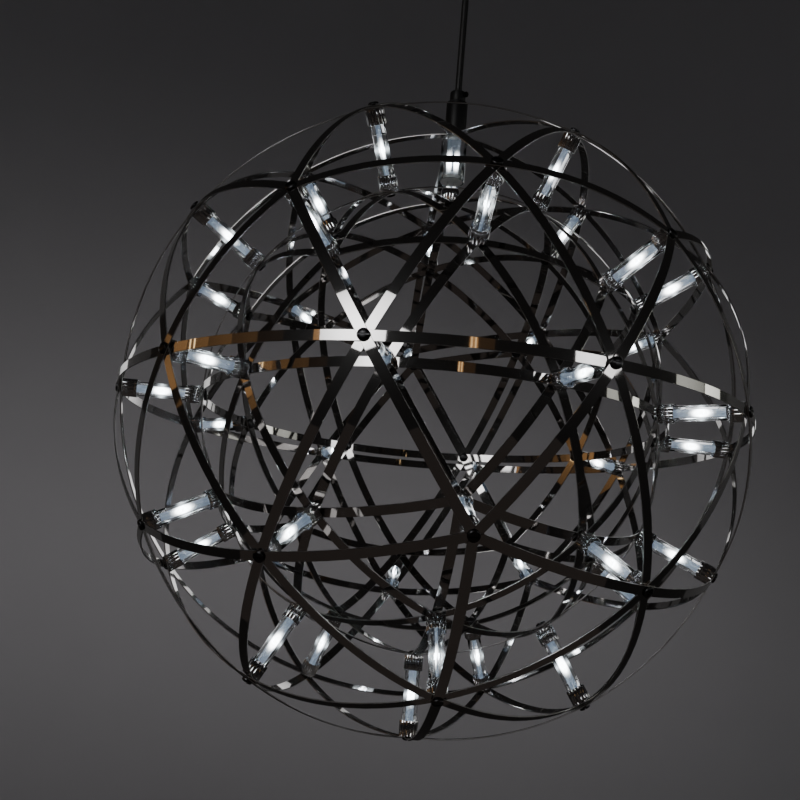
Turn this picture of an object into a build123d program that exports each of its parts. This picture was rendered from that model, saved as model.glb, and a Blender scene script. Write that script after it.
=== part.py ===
from build123d import *

import os
from itertools import combinations
from math import atan, atan2, cos, degrees, radians, sin, sqrt, tan

# LED pendant light: two concentric open balls of bent steel strip, clear tube lamps standing between them.
# Millimetres, +Z up. The origin is on the ceiling, where the cross bracket is screwed. All else hangs below.

# Ball frames
BALL_DROP = 400.0  # ceiling to the centre of the balls
BALL_TURN = 25.7  # degrees from +X to the first five-way crossing of the upper ring
OUTER_RADIUS = 215.0  # outer face of the outer edge strips where they lie over the hoops
STRIP_WIDTH = 6.0
STRIP_THICKNESS = 0.8
LAYER_GAP = 0.1  # between strips that lie on each other
SEAT_GAP = 0.15  # between a cap's flat end and the curved strip on it
MITRE_GAP = 0.3  # between the pointed strip ends at a five-way crossing

# Tube lamps
LAMP_LENGTH = 52.1  # over both caps; it sets how far apart the two balls are
CAP_RADIUS = 6.2
CAP_LENGTH = 10.0
FLUTES = 12
FLUTE_RADIUS = 1.0
FLUTE_DEPTH = 0.6
SOCKET_DEPTH = 4.0  # how far the tube stands in its cap
TUBE_RADIUS = 4.9
TUBE_WALL = 0.8
TUBE_FIT = 0.1
END_GAP = 0.1  # between the tube or board and the floor of its socket
BOARD_WIDTH = 5.0
BOARD_THICKNESS = 1.0
CHIP_SIDE = 2.8
CHIP_HEIGHT = 0.9

# Crossing screws
SCREW_RADIUS = 1.5
SCREW_HOLE_GAP = 0.2
SCREW_LENGTH = 7.0
SCREW_HEAD_RADIUS = 3.5
SCREW_HEAD_RIM = 0.7
SCREW_HEAD_HEIGHT = 1.8
SCREW_SEAT_GAP = 0.3  # under the head, where the strips curve
SLOT_WIDTH = 0.9
SLOT_DEPTH = 0.8

# Wide feed tube under the top crossing
FEED_RADIUS = 9.2
FEED_WALL = 1.0
FEED_HEIGHT = 36.0
FEED_SHOULDER = 4.5
FEED_PLUG_HEIGHT = 3.0
FEED_BOARD_WIDTH = 10.0
FEED_CHIP_RISE = -1.0  # LED centre above the feed board's middle
FEED_CHIP_SPACING = 5.5
PIN_RADIUS = 0.8
PIN_SPACING = 5.0

# Hollow stem and cord grip
STEM_RADIUS = 3.0
STEM_BORE_RADIUS = 1.8
STEM_HEAD_RADIUS = 4.6
STEM_HEAD_HEIGHT = 1.5
STEM_NUT_WIDTH = 8.0  # across flats
STEM_NUT_HEIGHT = 3.0
BUSH_WALL = 0.6
GRIP_RADIUS = 7.8
GRIP_HEIGHT = 25.0
GRIP_FLOOR = 4.0
GRIP_WALL = 2.4
GRIP_EDGE = 0.6
COLLAR_RADIUS = 5.8
COLLAR_HEIGHT = 8.5
SPIGOT_LENGTH = 5.0
GRIP_FIT = 0.1
SIDE_SCREW_RADIUS = 1.5
SIDE_SCREW_HEAD_RADIUS = 2.1
SIDE_SCREW_HEAD = 2.4
SIDE_SCREW_RISE = 5.6  # above the grip body
SIDE_SCREW_TURN = -35.0  # degrees from +X, seen from above
WIRE_RADIUS = 0.7

# Cord and its flexible boot
CORD_RADIUS = 2.5
CORD_FIT = 0.3
STOP_RADIUS = 4.4
STOP_LENGTH = 6.0
BOOT_BALL_RADIUS = 5.0
BOOT_NECK_RADIUS = 3.2
BOOT_TIP_RADIUS = 3.9
BOOT_WAIST_RADIUS = 4.9
BOOT_LENGTH = 32.0  # ball centre to tip
BOOT_RIBS = 4
BOOT_RIB_GAP = 1.6
BOOT_RIB_DEPTH = 0.7
SWIVEL_GAP = 0.3
SWING_ANGLE = 20.0

# Ceiling fitting
CUP_RADIUS = 60.0
CUP_HEIGHT = 29.5
CUP_WALL = 1.2
CUP_CORNER = 5.0
CEILING_GAP = 0.5
BRACKET_LENGTH = 104.0
BRACKET_WIDTH = 20.0
BRACKET_THICKNESS = 2.0
BRACKET_SLOT_SPACING = 56.0
BRACKET_SLOT_LENGTH = 14.0
BRACKET_SLOT_WIDTH = 4.6
STUD_SPACING = 88.0
STUD_RADIUS = 2.0
STUD_HOLE_GAP = 0.15
CAP_NUT_WIDTH = 7.0  # across flats
CAP_NUT_HEIGHT = 4.0
CAP_NUT_DOME = 3.0
EARTH_SCREW_PLACE = -14.0
EARTH_SCREW_LENGTH = 6.0
GLAND_RADIUS = 8.5
GLAND_LENGTH = 12.0
GLAND_LIP = 2.5  # socket lip below the swivel's centre
GLAND_THREAD_RADIUS = 5.0
GLAND_THREAD_LENGTH = 8.0
GLAND_NUT_WIDTH = 14.0  # across flats
GLAND_NUT_HEIGHT = 4.0
TAIL_RISE = 3.0  # cord sheath above the gland's thread
DRIVER_LENGTH = 62.0
DRIVER_WIDTH = 28.0
DRIVER_HEIGHT = 18.0
DRIVER_PLACE = 30.0
DRIVER_PAD = 1.0
DRIVER_EDGE = 1.5
BLOCK_LENGTH = 30.0
BLOCK_WIDTH = 14.0
BLOCK_HEIGHT = 13.0
BLOCK_PLACE = -31.0
BLOCK_WAYS = 3
BLOCK_SCREW_WELL = 2.0
LEAD_RADIUS = 0.8
LEAD_SPACING = 2.4
LEAD_BEND = 4.0
MAINS_LEAD_SPACING = 24.0
MAINS_LEAD_DROP = 18.0  # below the ceiling

# Radii from the balls' centre that follow from the sizes above
LAYER_STEP = STRIP_THICKNESS + LAYER_GAP
OUTER_SEAT = OUTER_RADIUS - STRIP_THICKNESS - 2 * LAYER_STEP  # inner face of the strips on the outer caps
OUTER_CAP_END = OUTER_SEAT - SEAT_GAP
INNER_CAP_END = OUTER_CAP_END - LAMP_LENGTH
INNER_RADIUS = INNER_CAP_END - SEAT_GAP  # outer face of the inner hoops where the lamps stand on them
OUTER_SOCKET_FLOOR = OUTER_CAP_END - CAP_LENGTH + SOCKET_DEPTH
INNER_SOCKET_FLOOR = INNER_CAP_END + CAP_LENGTH - SOCKET_DEPTH
INNER_SIX_WAY_FACE = INNER_RADIUS - STRIP_THICKNESS - 2 * LAYER_STEP
LAMP_MIDDLE = (OUTER_SOCKET_FLOOR + INNER_SOCKET_FLOOR) / 2
SCREW_HOLE_RADIUS = SCREW_RADIUS + SCREW_HOLE_GAP
REACH = 2 * OUTER_RADIUS  # longer than any cut needs

# Heights from the ceiling
BALL_CENTRE = Vector(0, 0, -BALL_DROP)
CUP_FLOOR = -CEILING_GAP - CUP_HEIGHT
CUP_INSIDE = CUP_FLOOR + CUP_WALL
SWIVEL = Vector(0, 0, CUP_FLOOR - GLAND_LENGTH / 2)
CORD_TOP = Vector(0, 0, SWIVEL.Z - BOOT_LENGTH)
POLE_SEAT = BALL_CENTRE.Z + OUTER_SEAT
FEED_TOP = POLE_SEAT - SEAT_GAP
FEED_FOOT = FEED_TOP - FEED_HEIGHT
GRIP_BASE = POLE_SEAT + STRIP_THICKNESS + SCREW_SEAT_GAP
GRIP_TOP = GRIP_BASE + GRIP_HEIGHT
SPIGOT_FOOT = GRIP_TOP - SPIGOT_LENGTH
STOP_TOP = SPIGOT_FOOT - SWIVEL_GAP
STOP_FOOT = STOP_TOP - STOP_LENGTH


def save(piece, name):
    """Label a finished piece and write it to its own file."""
    piece.label = name
    export_step(piece, f"parts/{name}.step")


def direction(latitude, azimuth):
    """A unit vector from the balls' centre, from angles in degrees."""
    level = cos(radians(latitude))
    return Vector(level * cos(radians(azimuth)), level * sin(radians(azimuth)), sin(radians(latitude)))


def copies(piece, planes):
    """One part that holds a copy of a piece on each plane."""
    with BuildPart() as group:
        with Locations(*planes):
            add(piece)
    return group.part


def lamp_plane(way):
    """The frame of a lamp: Z outwards along it, X level, across its board."""
    level = Vector(0, 0, 1).cross(way)
    if level.length < 0.01:
        level = Vector(0, 1, 0)
    return Plane(origin=BALL_CENTRE, x_dir=level, z_dir=way)


def edge_plane(edge):
    """The frame of an edge strip: Z outwards through its middle, X along it."""
    return Plane(origin=BALL_CENTRE, x_dir=edge[1] - edge[0], z_dir=edge[0] + edge[1])


def hoop_passes_over(axis, edge):
    """Whether the hoop round this axis is the outer one of the two that cross on this edge."""
    middle = edge[0] + edge[1]
    along = edge[1] - edge[0]
    run = axis.cross(middle)
    if run.dot(along) < 0:
        run = -run
    return along.cross(run).dot(middle) > 0


def hoop_plane(axis, edges):
    """The frame of a hoop: Z along its axis, X through a crossing where it passes over."""
    on_hoop = [e for e in edges if abs(axis.dot(e[0] + e[1])) < 0.01]
    start = [e for e in on_hoop if hoop_passes_over(axis, e)][0]
    return Plane(origin=BALL_CENTRE, x_dir=start[0] + start[1], z_dir=axis)


# Directions of the crossings: a pole, two rings of five, the other pole, then the middles of the thirty edges
RING_LATITUDE = degrees(atan(0.5))
RING_STEP = 72.0
CROSSING_STEP = RING_STEP / 2
upper_ring = [direction(RING_LATITUDE, BALL_TURN + k * RING_STEP) for k in range(5)]
lower_ring = [direction(-RING_LATITUDE, BALL_TURN + (k + 0.5) * RING_STEP) for k in range(5)]
top_pole = Vector(0, 0, 1)
bottom_pole = Vector(0, 0, -1)
five_way = [top_pole] + upper_ring + lower_ring + [bottom_pole]
edges = [pair for pair in combinations(five_way, 2) if pair[0].dot(pair[1]) > 0.4]
six_way = [(a + b).normalized() for a, b in edges]
hoop_axes = [top_pole] + upper_ring
EDGE_HALF_ANGLE = degrees(atan(2)) / 2

edge_rows = {
    "crown": [e for e in edges if top_pole in e],
    "upper": [e for e in edges if e[0] in upper_ring and e[1] in upper_ring],
    "waist": [e for e in edges if e[0] in upper_ring and e[1] in lower_ring],
    "lower": [e for e in edges if e[0] in lower_ring and e[1] in lower_ring],
    "base": [e for e in edges if bottom_pole in e],
}

os.makedirs("parts", exist_ok=True)


def make_hoop(over_radius):
    """A closed hoop that weaves over and under at alternate crossings.

    It is ten tangent arcs. over_radius is its inner face where it passes over."""
    shift = LAYER_STEP / (2 - 2 * cos(radians(CROSSING_STEP / 2)))
    over = over_radius - shift
    under = over + 2 * shift * cos(radians(CROSSING_STEP / 2))
    with BuildPart() as hoop:
        with BuildSketch():
            for thickness, mode in ((STRIP_THICKNESS, Mode.ADD), (0, Mode.SUBTRACT)):
                with BuildLine():
                    for k in range(5):
                        turn = k * RING_STEP
                        high = Vector(shift, 0).rotate(Axis.Z, turn)
                        low = Vector(-shift, 0).rotate(Axis.Z, turn + CROSSING_STEP)
                        CenterArc(high, over + thickness, turn - CROSSING_STEP / 2, CROSSING_STEP)
                        CenterArc(low, under + thickness, turn + CROSSING_STEP / 2, CROSSING_STEP)
                make_face(mode=mode)
        extrude(amount=STRIP_WIDTH / 2, both=True)
        crossings = [Plane(origin=(0, 0, 0), z_dir=direction(0, k * CROSSING_STEP)) for k in range(10)]
        with BuildSketch(*crossings):
            Circle(SCREW_HOLE_RADIUS)
        extrude(amount=REACH, mode=Mode.SUBTRACT)
    return hoop.part


def make_edge_strip(end_radius, middle_radius):
    """A strip between two five-way crossings, with pointed ends that share the crossing with four others.

    The radii are of its inner face, at its ends and at its middle."""
    half_chord = end_radius * sin(radians(EDGE_HALF_ANGLE))
    end_rise = end_radius * cos(radians(EDGE_HALF_ANGLE))
    centre = (middle_radius**2 - half_chord**2 - end_rise**2) / (2 * (middle_radius - end_rise))
    bend = middle_radius - centre
    half_arc = degrees(atan2(half_chord, end_rise - centre)) + degrees(STRIP_WIDTH / bend)
    with BuildPart() as strip:
        with BuildSketch(Plane.XZ):
            with BuildLine():
                inside = CenterArc((0, centre), bend, 90 - half_arc, 2 * half_arc)
                outside = CenterArc((0, centre), bend + STRIP_THICKNESS, 90 - half_arc, 2 * half_arc)
                Line(inside @ 0, outside @ 0)
                Line(inside @ 1, outside @ 1)
            make_face()
        extrude(amount=STRIP_WIDTH / 2, both=True)
        for side in (-1, 1):
            out = Vector(side * sin(radians(EDGE_HALF_ANGLE)), 0, cos(radians(EDGE_HALF_ANGLE)))
            with BuildSketch(Plane(origin=(0, 0, 0), x_dir=(-side, 0, 0), z_dir=out)):
                Rectangle(4 * STRIP_WIDTH, 2 * STRIP_WIDTH)
                with BuildLine():
                    point = MITRE_GAP / 2 / sin(radians(RING_STEP / 2))
                    mouth = point + 4 * STRIP_WIDTH
                    flare = 4 * STRIP_WIDTH * tan(radians(RING_STEP / 2))
                    Polyline((point, 0), (mouth, flare), (mouth, -flare), close=True)
                make_face(mode=Mode.SUBTRACT)
                Circle(SCREW_HOLE_RADIUS)
            extrude(amount=REACH, mode=Mode.SUBTRACT)
        with BuildSketch():
            Circle(SCREW_HOLE_RADIUS)
        extrude(amount=REACH, mode=Mode.SUBTRACT)
    return strip.part


# Outer ball: hoops next to the caps, edge strips over them
outer_hoop = make_hoop(OUTER_SEAT + LAYER_STEP)
inner_hoop = make_hoop(INNER_RADIUS - STRIP_THICKNESS)
for number, axis in enumerate(hoop_axes, start=1):
    place = hoop_plane(axis, edges)
    save(copies(outer_hoop, [place]), f"outer_hoop_{number}")
    save(copies(inner_hoop, [place]), f"inner_hoop_{number}")

outer_strip = make_edge_strip(OUTER_SEAT, OUTER_SEAT + 2 * LAYER_STEP)
inner_strip = make_edge_strip(INNER_RADIUS - STRIP_THICKNESS, INNER_SIX_WAY_FACE)
for row, row_edges in edge_rows.items():
    places = [edge_plane(edge) for edge in row_edges]
    bare_row = copies(outer_strip, places)
    with BuildPart() as outer_row:
        add(bare_row)
        if row == "crown":
            with BuildSketch():
                Circle(STEM_RADIUS + BUSH_WALL + 2 * GRIP_FIT)
            extrude(amount=-BALL_DROP, mode=Mode.SUBTRACT)
    save(outer_row.part, f"outer_{row}_strips")
    save(copies(inner_strip, places), f"inner_{row}_strips")


def make_cap(end, inwards):
    """A fluted lamp cap on +Z. end is where its flat end is; inwards is -1 or 1, from there to its socket."""
    mouth = end + inwards * CAP_LENGTH
    with BuildPart() as cap:
        with BuildSketch(Plane.XY.offset(min(end, mouth))):
            Circle(CAP_RADIUS)
            with PolarLocations(CAP_RADIUS + FLUTE_RADIUS - FLUTE_DEPTH, FLUTES):
                Circle(FLUTE_RADIUS, mode=Mode.SUBTRACT)
        extrude(amount=CAP_LENGTH)
        with BuildSketch(Plane.XY.offset(mouth)):
            Circle(TUBE_RADIUS + TUBE_FIT)
        extrude(amount=-inwards * SOCKET_DEPTH, mode=Mode.SUBTRACT)
        with BuildSketch(Plane.XY.offset(end)):
            Circle(SCREW_RADIUS + TUBE_FIT)
        extrude(amount=inwards * CAP_LENGTH, mode=Mode.SUBTRACT)
    return cap.part


# Lamps
lamp_planes = [lamp_plane(way) for way in five_way[1:] + six_way]
all_planes = [lamp_plane(top_pole)] + lamp_planes
save(copies(make_cap(OUTER_CAP_END, -1), lamp_planes), "outer_lamp_caps")
save(copies(make_cap(INNER_CAP_END, 1), all_planes), "inner_lamp_caps")

LAMP_SPAN = OUTER_SOCKET_FLOOR - INNER_SOCKET_FLOOR - 2 * END_GAP
with BuildPart() as lamp_tube:
    with BuildSketch(Plane.XY.offset(INNER_SOCKET_FLOOR + END_GAP)):
        Circle(TUBE_RADIUS)
        Circle(TUBE_RADIUS - TUBE_WALL, mode=Mode.SUBTRACT)
    extrude(amount=LAMP_SPAN)
save(copies(lamp_tube.part, lamp_planes), "lamp_tubes")

with BuildPart() as lamp_board:
    with BuildSketch(Plane.XY.offset(INNER_SOCKET_FLOOR + END_GAP)):
        Rectangle(BOARD_THICKNESS, BOARD_WIDTH)
    extrude(amount=LAMP_SPAN)
save(copies(lamp_board.part, lamp_planes), "lamp_boards")

CHIP_OFFSET = BOARD_THICKNESS + CHIP_HEIGHT  # between the middles of the two LEDs on one board
with BuildPart() as lamp_chips:
    with BuildSketch(Plane.XY.offset(LAMP_MIDDLE - CHIP_SIDE / 2)):
        with GridLocations(CHIP_OFFSET, 0, 2, 1):
            Rectangle(CHIP_HEIGHT, CHIP_SIDE)
    extrude(amount=CHIP_SIDE)
save(copies(lamp_chips.part, lamp_planes), "lamp_led_chips")

# Slotted screw, its head's underside on XY and its shank downwards
with BuildPart() as screw:
    with BuildSketch(Plane.XZ):
        with BuildLine():
            shank = Polyline(
                (0, SCREW_HEAD_HEIGHT),
                (0, -SCREW_LENGTH),
                (SCREW_RADIUS, -SCREW_LENGTH),
                (SCREW_RADIUS, 0),
                (SCREW_HEAD_RADIUS, 0),
                (SCREW_HEAD_RADIUS, SCREW_HEAD_RIM),
            )
            TangentArc(shank @ 0, shank @ 1, tangent=(1, 0))
        make_face()
    revolve(axis=Axis.Z)
    with BuildSketch(Plane.XY.offset(SCREW_HEAD_HEIGHT)):
        Rectangle(3 * SCREW_HEAD_RADIUS, SLOT_WIDTH)
    extrude(amount=-SLOT_DEPTH, mode=Mode.SUBTRACT)

five_way_seat = OUTER_SEAT + STRIP_THICKNESS + SCREW_SEAT_GAP
outer_seats = [lamp_plane(way).offset(five_way_seat) for way in five_way[1:]]
outer_seats += [lamp_plane(way).offset(OUTER_RADIUS + SCREW_SEAT_GAP) for way in six_way]
save(copies(screw.part, outer_seats), "outer_screws")


def inner_screw_plane(way, radius):
    """Frame of a screw that points outwards, with its head towards the balls' centre."""
    return Plane(origin=BALL_CENTRE + way * radius, x_dir=lamp_plane(way).x_dir, z_dir=-way)


inner_five_way = INNER_RADIUS - STRIP_THICKNESS - SCREW_SEAT_GAP
inner_seats = [inner_screw_plane(way, inner_five_way) for way in five_way]
inner_seats += [inner_screw_plane(way, INNER_SIX_WAY_FACE - SCREW_SEAT_GAP) for way in six_way]
save(copies(screw.part, inner_seats), "inner_screws")

# Wide feed tube: a clear jar with a rounded shoulder, closed below by a plug
with BuildPart() as feed_tube:
    with BuildSketch(Plane.XY.offset(FEED_FOOT)):
        Circle(FEED_RADIUS)
    extrude(amount=FEED_HEIGHT)
    fillet(feed_tube.faces().sort_by(Axis.Z)[-1].edges(), FEED_SHOULDER)
    offset(amount=-FEED_WALL, openings=feed_tube.faces().sort_by(Axis.Z)[0])
    with BuildSketch(Plane.XY.offset(FEED_TOP)):
        Circle(STEM_RADIUS + BUSH_WALL + 2 * GRIP_FIT)
    extrude(amount=-2 * FEED_WALL, mode=Mode.SUBTRACT)
save(feed_tube.part, "feed_tube")

STEM_HEAD_TOP = FEED_TOP - FEED_WALL - END_GAP
STEM_FOOT = STEM_HEAD_TOP - STEM_HEAD_HEIGHT
PLUG_TOP = FEED_FOOT + FEED_PLUG_HEIGHT
FEED_BOARD_TOP = STEM_FOOT - END_GAP
FEED_BOARD_HEIGHT = FEED_BOARD_TOP - PLUG_TOP - END_GAP
with BuildPart() as feed_plug:
    with BuildSketch(Plane.XY.offset(FEED_FOOT)):
        Circle(FEED_RADIUS - FEED_WALL - TUBE_FIT)
        with GridLocations(PIN_SPACING, 0, 2, 1):
            Circle(PIN_RADIUS + TUBE_FIT, mode=Mode.SUBTRACT)
    extrude(amount=FEED_PLUG_HEIGHT)
save(feed_plug.part, "feed_plug")

with BuildPart() as feed_board:
    with BuildSketch(Plane.XY.offset(PLUG_TOP + END_GAP)):
        Rectangle(FEED_BOARD_WIDTH, BOARD_THICKNESS)
    extrude(amount=FEED_BOARD_HEIGHT)
save(feed_board.part, "feed_board")

FEED_CHIP_MIDDLE = PLUG_TOP + END_GAP + FEED_BOARD_HEIGHT / 2 + FEED_CHIP_RISE
with BuildPart() as feed_chips:
    with BuildSketch(Plane.XY.offset(FEED_CHIP_MIDDLE - CHIP_SIDE / 2)):
        with GridLocations(FEED_CHIP_SPACING, CHIP_OFFSET, 2, 2):
            Rectangle(CHIP_SIDE, CHIP_HEIGHT)
    extrude(amount=CHIP_SIDE)
save(feed_chips.part, "feed_led_chips")

PIN_FOOT = BALL_CENTRE.Z + INNER_SOCKET_FLOOR + END_GAP
with BuildPart() as feed_pins:
    with BuildSketch(Plane.XY.offset(PIN_FOOT)):
        with GridLocations(PIN_SPACING, 0, 2, 1):
            Circle(PIN_RADIUS)
    extrude(amount=PLUG_TOP - PIN_FOOT)
save(feed_pins.part, "feed_pins")

# Hollow stem, its insulating bush and its nut
NUT_FOOT = GRIP_BASE + GRIP_FLOOR + LAYER_GAP
STEM_TOP = NUT_FOOT + STEM_NUT_HEIGHT
with BuildPart() as stem:
    with BuildSketch(Plane.XY.offset(STEM_FOOT)):
        Circle(STEM_HEAD_RADIUS)
    extrude(amount=STEM_HEAD_HEIGHT)
    with BuildSketch(Plane.XY.offset(STEM_FOOT)):
        Circle(STEM_RADIUS)
    extrude(amount=STEM_TOP - STEM_FOOT)
    with BuildSketch(Plane.XY.offset(STEM_FOOT)):
        Circle(STEM_BORE_RADIUS)
    extrude(amount=STEM_TOP - STEM_FOOT, mode=Mode.SUBTRACT)
save(stem.part, "grip_stem")

BUSH_FOOT = STEM_HEAD_TOP + END_GAP
with BuildPart() as bush:
    with BuildSketch(Plane.XY.offset(BUSH_FOOT)):
        Circle(STEM_RADIUS + GRIP_FIT + BUSH_WALL)
        Circle(STEM_RADIUS + GRIP_FIT, mode=Mode.SUBTRACT)
    extrude(amount=GRIP_BASE - END_GAP - BUSH_FOOT)
save(bush.part, "stem_bush")

with BuildPart() as stem_nut:
    with BuildSketch(Plane.XY.offset(NUT_FOOT)):
        RegularPolygon(STEM_NUT_WIDTH / 2, 6, major_radius=False)
        Circle(STEM_RADIUS + GRIP_FIT, mode=Mode.SUBTRACT)
    extrude(amount=STEM_NUT_HEIGHT)
save(stem_nut.part, "stem_nut")

with BuildPart() as feed_wires:
    with BuildSketch(Plane.XY.offset(FEED_BOARD_TOP)):
        with GridLocations(2 * WIRE_RADIUS + GRIP_FIT, 0, 2, 1):
            Circle(WIRE_RADIUS)
    extrude(amount=STOP_FOOT - SWIVEL_GAP - FEED_BOARD_TOP)
save(feed_wires.part, "feed_wires")

# Cord grip
with BuildPart() as grip_body:
    with BuildSketch(Plane.XY.offset(GRIP_BASE)):
        Circle(GRIP_RADIUS)
    extrude(amount=GRIP_HEIGHT)
    rims = grip_body.edges().filter_by(GeomType.CIRCLE)
    chamfer(rims, GRIP_EDGE)
    with BuildSketch(Plane.XY.offset(GRIP_BASE + GRIP_FLOOR)):
        Circle(GRIP_RADIUS - GRIP_WALL)
    extrude(amount=GRIP_HEIGHT, mode=Mode.SUBTRACT)
    with BuildSketch(Plane.XY.offset(GRIP_BASE)):
        Circle(STEM_RADIUS + GRIP_FIT)
    extrude(amount=GRIP_FLOOR, mode=Mode.SUBTRACT)
save(grip_body.part, "grip_body")

side_screw_way = direction(0, SIDE_SCREW_TURN)
side_screw_plane = Plane(origin=(0, 0, GRIP_TOP + SIDE_SCREW_RISE), z_dir=side_screw_way)
with BuildPart() as grip_collar:
    with BuildSketch(Plane.XY.offset(GRIP_TOP + LAYER_GAP)):
        Circle(COLLAR_RADIUS)
    extrude(amount=COLLAR_HEIGHT - LAYER_GAP)
    chamfer(grip_collar.faces().sort_by(Axis.Z)[-1].edges(), GRIP_EDGE)
    with BuildSketch(Plane.XY.offset(SPIGOT_FOOT)):
        Circle(GRIP_RADIUS - GRIP_WALL - GRIP_FIT)
    extrude(amount=SPIGOT_LENGTH + LAYER_GAP)
    with BuildSketch(Plane.XY.offset(SPIGOT_FOOT)):
        Circle(CORD_RADIUS + CORD_FIT)
    extrude(amount=SPIGOT_LENGTH + COLLAR_HEIGHT, mode=Mode.SUBTRACT)
    with BuildSketch(side_screw_plane):
        Circle(SIDE_SCREW_RADIUS + GRIP_FIT)
    extrude(amount=COLLAR_RADIUS, mode=Mode.SUBTRACT)
save(grip_collar.part, "grip_collar")

with BuildPart() as side_screw:
    with BuildSketch(side_screw_plane.offset(CORD_RADIUS + 2 * CORD_FIT)):
        Circle(SIDE_SCREW_RADIUS)
    extrude(amount=COLLAR_RADIUS - CORD_RADIUS - CORD_FIT)
    with BuildSketch(side_screw_plane.offset(COLLAR_RADIUS + CORD_FIT)):
        Circle(SIDE_SCREW_HEAD_RADIUS)
    extrude(amount=SIDE_SCREW_HEAD)
    head = side_screw.faces().sort_by(Axis((0, 0, 0), side_screw_way))[-1]
    chamfer(head.edges(), GRIP_EDGE)
    with BuildSketch(side_screw_plane.offset(COLLAR_RADIUS + CORD_FIT + SIDE_SCREW_HEAD)):
        Rectangle(3 * SIDE_SCREW_HEAD_RADIUS, SLOT_WIDTH)
    extrude(amount=-SLOT_DEPTH, mode=Mode.SUBTRACT)
save(side_screw.part, "grip_side_screw")

# Cord: a straight drop with a round top that turns in the boot's tip, and a crimped stop on its lower end
with BuildPart() as cord_drop:
    with BuildSketch(Plane.XY.offset(STOP_TOP)):
        Circle(CORD_RADIUS)
    extrude(amount=CORD_TOP.Z - STOP_TOP)
    with Locations(CORD_TOP):
        Sphere(CORD_RADIUS)
save(cord_drop.part, "cord_drop")
print("cord drop", round(CORD_TOP.Z - STOP_TOP, 1), "mm, straight, no bends")

with BuildPart() as cord_stop:
    with BuildSketch(Plane.XY.offset(STOP_FOOT)):
        Circle(STOP_RADIUS)
    extrude(amount=STOP_LENGTH)
    chamfer(cord_stop.edges().filter_by(GeomType.CIRCLE), GRIP_EDGE)
save(cord_stop.part, "cord_stop")

# Boot: a ball in the gland's socket, a neck, and a ribbed taper that ends round the cord
SHOULDER_RISE = BOOT_WAIST_RADIUS * sin(radians(SWING_ANGLE))  # of the boot's shoulder at the end of the swing
NECK_LENGTH = (GLAND_LENGTH / 2 + SWIVEL_GAP + SHOULDER_RISE) / cos(radians(SWING_ANGLE))
RIB_PITCH = (BOOT_LENGTH - NECK_LENGTH) / (BOOT_RIBS + 1)
with BuildPart() as cord_boot:
    with Locations(SWIVEL):
        Sphere(BOOT_BALL_RADIUS)
    with BuildSketch(Plane.XZ):
        with BuildLine():
            Polyline(
                (0, SWIVEL.Z),
                (BOOT_NECK_RADIUS, SWIVEL.Z),
                (BOOT_NECK_RADIUS, SWIVEL.Z - NECK_LENGTH),
                (BOOT_WAIST_RADIUS, SWIVEL.Z - NECK_LENGTH),
                (BOOT_TIP_RADIUS, CORD_TOP.Z),
                (0, CORD_TOP.Z),
                close=True,
            )
        make_face()
    revolve(axis=Axis.Z)
    for rib in range(1, BOOT_RIBS + 1):
        level = SWIVEL.Z - NECK_LENGTH - rib * RIB_PITCH
        taper = (BOOT_WAIST_RADIUS - BOOT_TIP_RADIUS) * rib / (BOOT_RIBS + 1)
        with BuildSketch(Plane.XY.offset(level)):
            Circle(BOOT_WAIST_RADIUS)
            Circle(BOOT_WAIST_RADIUS - taper - BOOT_RIB_DEPTH, mode=Mode.SUBTRACT)
        extrude(amount=BOOT_RIB_GAP, mode=Mode.SUBTRACT)
    with Locations(CORD_TOP):
        Sphere(CORD_RADIUS + SWIVEL_GAP, mode=Mode.SUBTRACT)
save(cord_boot.part, "cord_boot")

# Gland under the cup: a socket for the boot's ball, its mouth wide enough for the swing
SOCKET_RADIUS = BOOT_BALL_RADIUS + SWIVEL_GAP
LIP_RADIUS = sqrt(SOCKET_RADIUS**2 - GLAND_LIP**2)
MOUTH_RADIUS = LIP_RADIUS + (GLAND_LENGTH / 2 - GLAND_LIP) * tan(radians(SWING_ANGLE + 5))
GLAND_FOOT = CUP_FLOOR - GLAND_LENGTH
with BuildPart() as cord_gland:
    with BuildSketch(Plane.XY.offset(GLAND_FOOT)):
        Circle(GLAND_RADIUS)
    extrude(amount=GLAND_LENGTH)
    fillet(cord_gland.faces().sort_by(Axis.Z)[0].edges(), GLAND_RADIUS - MOUTH_RADIUS - GRIP_EDGE)
    with BuildSketch(Plane.XY.offset(CUP_FLOOR)):
        Circle(GLAND_THREAD_RADIUS)
    extrude(amount=GLAND_THREAD_LENGTH)
    with Locations(SWIVEL):
        Sphere(SOCKET_RADIUS, mode=Mode.SUBTRACT)
    with BuildSketch(Plane.XZ):
        with BuildLine():
            Polyline(
                (0, SWIVEL.Z - GLAND_LIP),
                (LIP_RADIUS, SWIVEL.Z - GLAND_LIP),
                (MOUTH_RADIUS, GLAND_FOOT),
                (0, GLAND_FOOT),
                close=True,
            )
        make_face()
    revolve(axis=Axis.Z, mode=Mode.SUBTRACT)
    with BuildSketch(Plane.XY.offset(SWIVEL.Z)):
        Circle(CORD_RADIUS + TUBE_FIT)
    extrude(amount=GLAND_LENGTH + GLAND_THREAD_LENGTH, mode=Mode.SUBTRACT)
save(cord_gland.part, "cord_gland")

with BuildPart() as gland_nut:
    with BuildSketch(Plane.XY.offset(CUP_INSIDE)):
        RegularPolygon(GLAND_NUT_WIDTH / 2, 6, major_radius=False)
        Circle(GLAND_THREAD_RADIUS + GRIP_FIT, mode=Mode.SUBTRACT)
    extrude(amount=GLAND_NUT_HEIGHT)
save(gland_nut.part, "gland_nut")

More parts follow.
